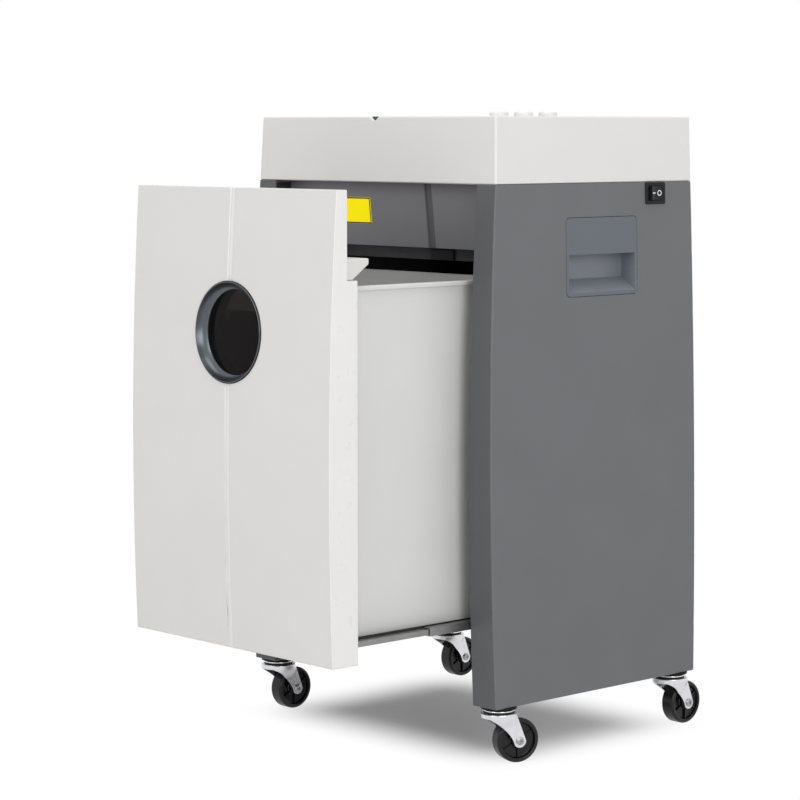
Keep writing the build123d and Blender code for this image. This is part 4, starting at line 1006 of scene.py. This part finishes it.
def leg_form(side):
    """One leg as a closed grid; side is 1 or -1."""
    rows, columns = 30, 8
    low, high = axle_height - eye_radius + 0.15 * mm, crown_low + crown_overlap
    form = bmesh.new()
    skins = ([], [])
    for row in range(rows + 1):
        share = row / rows
        z = low + (high - low) * share ** 1.15
        flare = min(max((z - (crown_low - flare_height)) / flare_height, 0), 1)
        flare = flare * flare * (3 - 2 * flare)
        front, rear = leg_front(min(z, crown_low)), leg_rear(min(z, crown_low))
        for skin, inset in zip(skins, (0, leg_thick)):
            line = []
            for column in range(columns + 1):
                y = front + (rear - front) * column / columns
                on_circle = math.sqrt(max(crown_radius ** 2 - y * y, leg_out ** 2)) - 0.2 * mm
                x = leg_out + (on_circle - leg_out) * flare - inset
                line.append(form.verts.new((side * x, y, z)))
            skin.append(line)
    outer, inner = skins
    for row in range(rows):
        for column in range(columns):
            for skin in skins:
                here, above = skin[row], skin[row + 1]
                form.faces.new((here[column], here[column + 1], above[column + 1], above[column]))
        for edge in (0, columns):
            form.faces.new((outer[row][edge], outer[row + 1][edge], inner[row + 1][edge], inner[row][edge]))
    for end in (0, rows):
        for column in range(columns):
            after = column + 1
            form.faces.new((outer[end][column], outer[end][after], inner[end][after], inner[end][column]))
    bmesh.ops.recalc_face_normals(form, faces=form.faces)
    border = [edge for edge in form.edges if edge.calc_face_angle() > math.radians(50)]
    bmesh.ops.bevel(form, geom=border, offset=leg_bevel, offset_type="OFFSET", segments=2, profile=0.5,
                    affect="EDGES", clamp_overlap=True)
    return form


print("the leg flares over its top", round(flare_height / mm), "mm")

# %% Crown, apron and rivet
crown_rim = 1.2 * mm
dish_depth, dish_flat, dish_edge, crown_seat = 0.6 * mm, 15 * mm, 18.5 * mm, 16 * mm
apron_chamfer = 0.5 * mm
rivet_radius, rivet_drop, rivet_dome = 7 * mm, 2.4 * mm, 0.045


def crown_form():
    """The crown: a dished disc with a rounded rim, as seen under the race."""
    outline = [(0, crown_low + dish_depth), (dish_flat, crown_low + dish_depth), (dish_edge, crown_low)]
    outline += arc_points((crown_radius - crown_rim, crown_low + crown_rim), crown_rim, -90, 90, 9)
    outline += [(crown_seat, crown_low + 2 * crown_rim), (0, crown_low + 2 * crown_rim)]
    return lathe(outline, 72)


def apron_form():
    """The short front wall under the crown's edge that joins the two legs."""
    steps, radius = 18, crown_radius - 0.25 * mm
    start = math.atan2(leg_root, leg_out)
    inner, low, high = radius - leg_thick, apron_low, crown_low + crown_overlap
    section = ((radius, low + apron_chamfer), (radius, high), (inner, high), (inner, low),
               (radius - apron_chamfer, low))
    form, posts = bmesh.new(), []
    for step in range(steps + 1):
        angle = -start - (math.pi - 2 * start) * step / steps
        posts.append([form.verts.new((r * math.cos(angle), r * math.sin(angle), z)) for r, z in section])
    for step in range(steps):
        here, there = posts[step], posts[step + 1]
        for index in range(len(section)):
            after = (index + 1) % len(section)
            form.faces.new((here[index], there[index], there[after], here[after]))
    for post in (posts[0], posts[-1]):
        form.faces.new(post)
    return form


def rivet_form():
    """The peened end of the king pin, a low dome under the crown."""
    dome = [(radius * mm, crown_low + rivet_dome * radius ** 2 * mm - rivet_drop) for radius in (0, 2, 4, 6)]
    seat = crown_low + 0.7 * mm
    return lathe(dome + [(rivet_radius, seat), (0, seat)], 32)


print("crown", round(2 * crown_radius / mm), "mm across")

# %% Caster stampings
for corner in corners:
    stamping = merged(leg_form(1), leg_form(-1), apron_form(), crown_form(), rivet_form())
    make_piece("caster_stamping_" + corner, place(stamping, caster_place(corner)), "caster_fork_" + corner,
               "zinc", ["caster_fork_" + corner], crease=40)
print(len(corners), "stampings")

# %% [markdown]
# ## Ball race, seal and axle bolt
# Between the crown and the machine sit the parts that let the caster turn: a dark seal and a bright rolled
# race. They are thin, but they show as a chrome band with a black line under it, which is how the eye tells
# a caster from a fixed foot. The bolt has a duller plating than the leg, so that its head stands out.

# %% Races and bolts
axle_head_radius, axle_head_height, axle_radius = 4.6 * mm, 2.4 * mm, 3.9 * mm
axle_recess = 1.4 * mm
roll, race_bore, race_lip = 1.1 * mm, 9 * mm, 1.6 * mm
seal_bore, seal_inset, seal_low, seal_overlap = 8 * mm, 0.5 * mm, 2.2 * mm, 0.3 * mm
bolt_steel = plated("bolt_steel", (0.42, 0.42, 0.43), 0.25, 0.35, depth=0.004 * mm)
for corner in corners:
    where, body = caster_place(corner), "caster_fork_" + corner
    race = [(race_bore, race_low), (race_radius - roll, race_low)]
    race += arc_points((race_radius - roll, race_low + roll), roll, -90, 60, 8)
    race += [(race_radius - race_lip, race_top), (race_bore, race_top)]
    make_piece("caster_race_" + corner, place(lathe(race, 72), where), body, "zinc", finish=chrome_race,
               crease=50)
    seal_radius, low, high = race_radius - seal_inset, crown_low + seal_low, race_low + seal_overlap
    seal = [(seal_bore, low), (seal_radius, low), (seal_radius, high), (seal_bore, high)]
    make_piece("caster_seal_" + corner, place(lathe(seal, 48), where), body, "stem_black",
               finish=finishes["black_plastic"])
    bolt = [place(lathe([(0, -leg_out), (axle_radius, -leg_out), (axle_radius, leg_out), (0, leg_out)], 32),
                  Matrix.Rotation(math.radians(90), 4, "Y"))]
    for side in (90, -90):
        head = pan_head(axle_head_radius, axle_head_height, axle_recess)
        turned = Matrix.Rotation(math.radians(side), 4, "Y") @ Matrix.Translation((0, 0, leg_out))
        bolt.append(place(head, turned))
    axle = Matrix.Translation((0, trail, axle_height))
    make_piece("caster_bolt_" + corner, place(merged(*bolt), where @ axle), body, "zinc", finish=bolt_steel)
print(len(corners) * 3, "races, seals and bolts")

# %% [markdown]
# ## Caster wheels
# The tyre is one hard black moulding with round shoulders. The centre is a second, glossier one: a dished web
# with a hub and six thin ribs. Keeping them apart lets the small highlight on the web stay sharp while the
# tread stays dull. The outlines are in millimetres, as radius and distance from the wheel's middle plane.

# %% Wheels
wheel_radius, wheel_half = 25 * mm, 9 * mm
shoulder = 3.2 * mm
seat_radius = 19.6 * mm
web_outline = ((4.2, 9.3), (7.4, 9.3), (8.0, 8.7), (8.6, 5.6), (9.4, 5.0), (18.0, 5.0), (18.9, 5.5),
               (19.7, 7.3))
rib_outline = ((7.6, -7.4), (19.2, -7.0), (19.2, 7.0), (7.6, 7.4))
rib_count, rib_thick = 6, 1.3 * mm
finishes["wheel_centre"] = moulded("glossy_black_centre", grey(16), 0.2, depth=0.004 * mm, specular=0.3)


def tyre_form():
    """The tread and its two shoulders, spun about the axle."""
    half = [(seat_radius, wheel_half - 1.6 * mm), (seat_radius + 0.7 * mm, wheel_half - 0.5 * mm),
            (wheel_radius - shoulder, wheel_half)]
    half += arc_points((wheel_radius - shoulder, wheel_half - shoulder), shoulder, 80, 0, 8)
    return lathe(half + [(radius, -x) for radius, x in reversed(half)], 96)


def centre_form():
    """The hub and the dished web, with ribs that stand on the web on both sides."""
    half = [(radius * mm, x * mm) for radius, x in web_outline]
    web = lathe(half + [(radius, -x) for radius, x in reversed(half)], 72)
    ribs = []
    for index in range(rib_count):
        rib = plate([(radius * mm, x * mm) for radius, x in rib_outline], rib_thick)
        turn = Matrix.Rotation(2 * math.pi * index / rib_count, 4, "Z")
        stand = turn @ Matrix.Rotation(math.radians(90), 4, "X")
        ribs.append(place(rib, stand @ Matrix.Translation((0, 0, -rib_thick / 2))))
    return merged(web, *ribs)


for corner in corners:
    axle = Matrix.Translation((0, trail, axle_height)) @ Matrix.Rotation(math.radians(90), 4, "Y")
    hub = caster_place(corner) @ axle
    body, slot = "caster_wheel_" + corner, "wheel_rubber"
    make_piece("tyre_" + corner, place(tyre_form(), hub), body, slot, ["caster_wheel_" + corner])
    make_piece("wheel_centre_" + corner, place(centre_form(), hub), body, slot,
               finish=finishes["wheel_centre"])
print("wheels", round(wheel_radius * 2 / mm), "mm across")

# %% [markdown]
# ## Buttons
# Three low caps stand out of the cover. Each is turned: a slightly dished top, a soft shoulder, a flange that
# stops it from falling out, and the stem down to its switch.

# %% Buttons
cap, cap_shoulder, stem = 10.5 * mm, 2 * mm, 3 * mm
dish = ((0, 0.5), (4, 0.35), (7.2, 0.05))
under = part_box("top_cover")[1].z - 2.5 * mm
flange_top, flange_low = under - 0.5 * mm, under - 2.2 * mm
for node in ("button_forward", "button_stop", "button_reverse"):
    low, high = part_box(node)
    middle, flange, top = (low + high) / 2, (high.x - low.x) / 2, high.z
    outline = [(radius * mm, top - drop * mm) for radius, drop in dish]
    outline += arc_points((cap - cap_shoulder, top - cap_shoulder), cap_shoulder, 80, 0, 7)
    outline += [(cap, under - 0.3 * mm), (flange, flange_top), (flange, flange_low),
                (stem, under - 2.3 * mm), (stem, low.z), (0, low.z)]
    form = place(lathe(outline, 64), Matrix.Translation((middle.x, middle.y, 0)))
    make_piece(node + "_turned", form, body_of_node[node], slot_of_node[node], [node], crease=40)
print("three buttons")

# %% [markdown]
# ## Marks on the mains switch
# The rocker carries the two international signs for on and off: a bar and a ring. They are printed white, so
# they are thin plates a tenth of a millimetre high that lie on the rocker's two slopes and rock with it.

# %% Switch marks
mark_height = 0.12 * mm
bar_length, bar_width = 8.5 * mm, 1.5 * mm
ring_outer, ring_inner = 3.3 * mm, 2.2 * mm


def ring_plate(outer, inner, thickness):
    """A flat ring standing on z = 0."""
    return lathe([(inner, 0), (outer, 0), (outer, thickness), (inner, thickness)], 40)


def bar_plate(length, width, thickness):
    """A flat bar standing on z = 0."""
    x, y = length / 2, width / 2
    return plate([(-x, -y), (x, -y), (x, y), (-x, y)], thickness)


rocker_middle = joint_of["mains_switch"]["pos_m"][1]
front_slope = broad_face("switch_rocker", Vector((1, 0, 0)), lambda middle: middle.y < rocker_middle)
rear_slope = broad_face("switch_rocker", Vector((1, 0, 0)), lambda middle: middle.y > rocker_middle)
for name, form, slope in (("on_mark", bar_plate(bar_length, bar_width, mark_height), front_slope),
                          ("off_mark", ring_plate(ring_outer, ring_inner, mark_height), rear_slope)):
    make_piece(name, place(form, upright(*slope)), "mains_rocker", "button_white")
    print(name, [round(value / mm, 1) for value in slope[0]], [round(value, 2) for value in slope[1]])

# %% [markdown]
# ## The notice
# A yellow plate sits on the fascia, with a thin dark frame at its edge. The frame is four flat bars a tenth
# of a millimetre high, laid on the plate's own slope, so that it can't float off or sink in.

# %% Notice frame
frame_width = 1.4 * mm
frame_inset = 0.15 * mm


def frame_plate(width, height, border, thickness):
    """A flat rectangular frame, as four bars that meet at the corners."""
    bars = []
    for side in (1, -1):
        bars.append(place(bar_plate(width, border, thickness),
                          Matrix.Translation((0, side * (height - border) / 2, 0))))
        bars.append(place(bar_plate(border, height - 2 * border, thickness),
                          Matrix.Translation((side * (width - border) / 2, 0, 0))))
    return merged(*bars)


notice_low, notice_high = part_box("notice_plate")
notice_place = broad_face("notice_plate", Vector((0, -1, 0)))
notice_tall = notice_high.z - notice_low.z - 2 * frame_inset
notice_wide = notice_high.x - notice_low.x - 2 * frame_inset
notice_frame = frame_plate(notice_wide, notice_tall, frame_width, mark_height)
make_piece("notice_frame", place(notice_frame, upright(*notice_place)), body_of_node["notice_plate"],
           slot_of_node["notice_plate"], finish=finishes["black_plastic"])
print("notice", round(notice_tall / mm, 1), "mm tall")
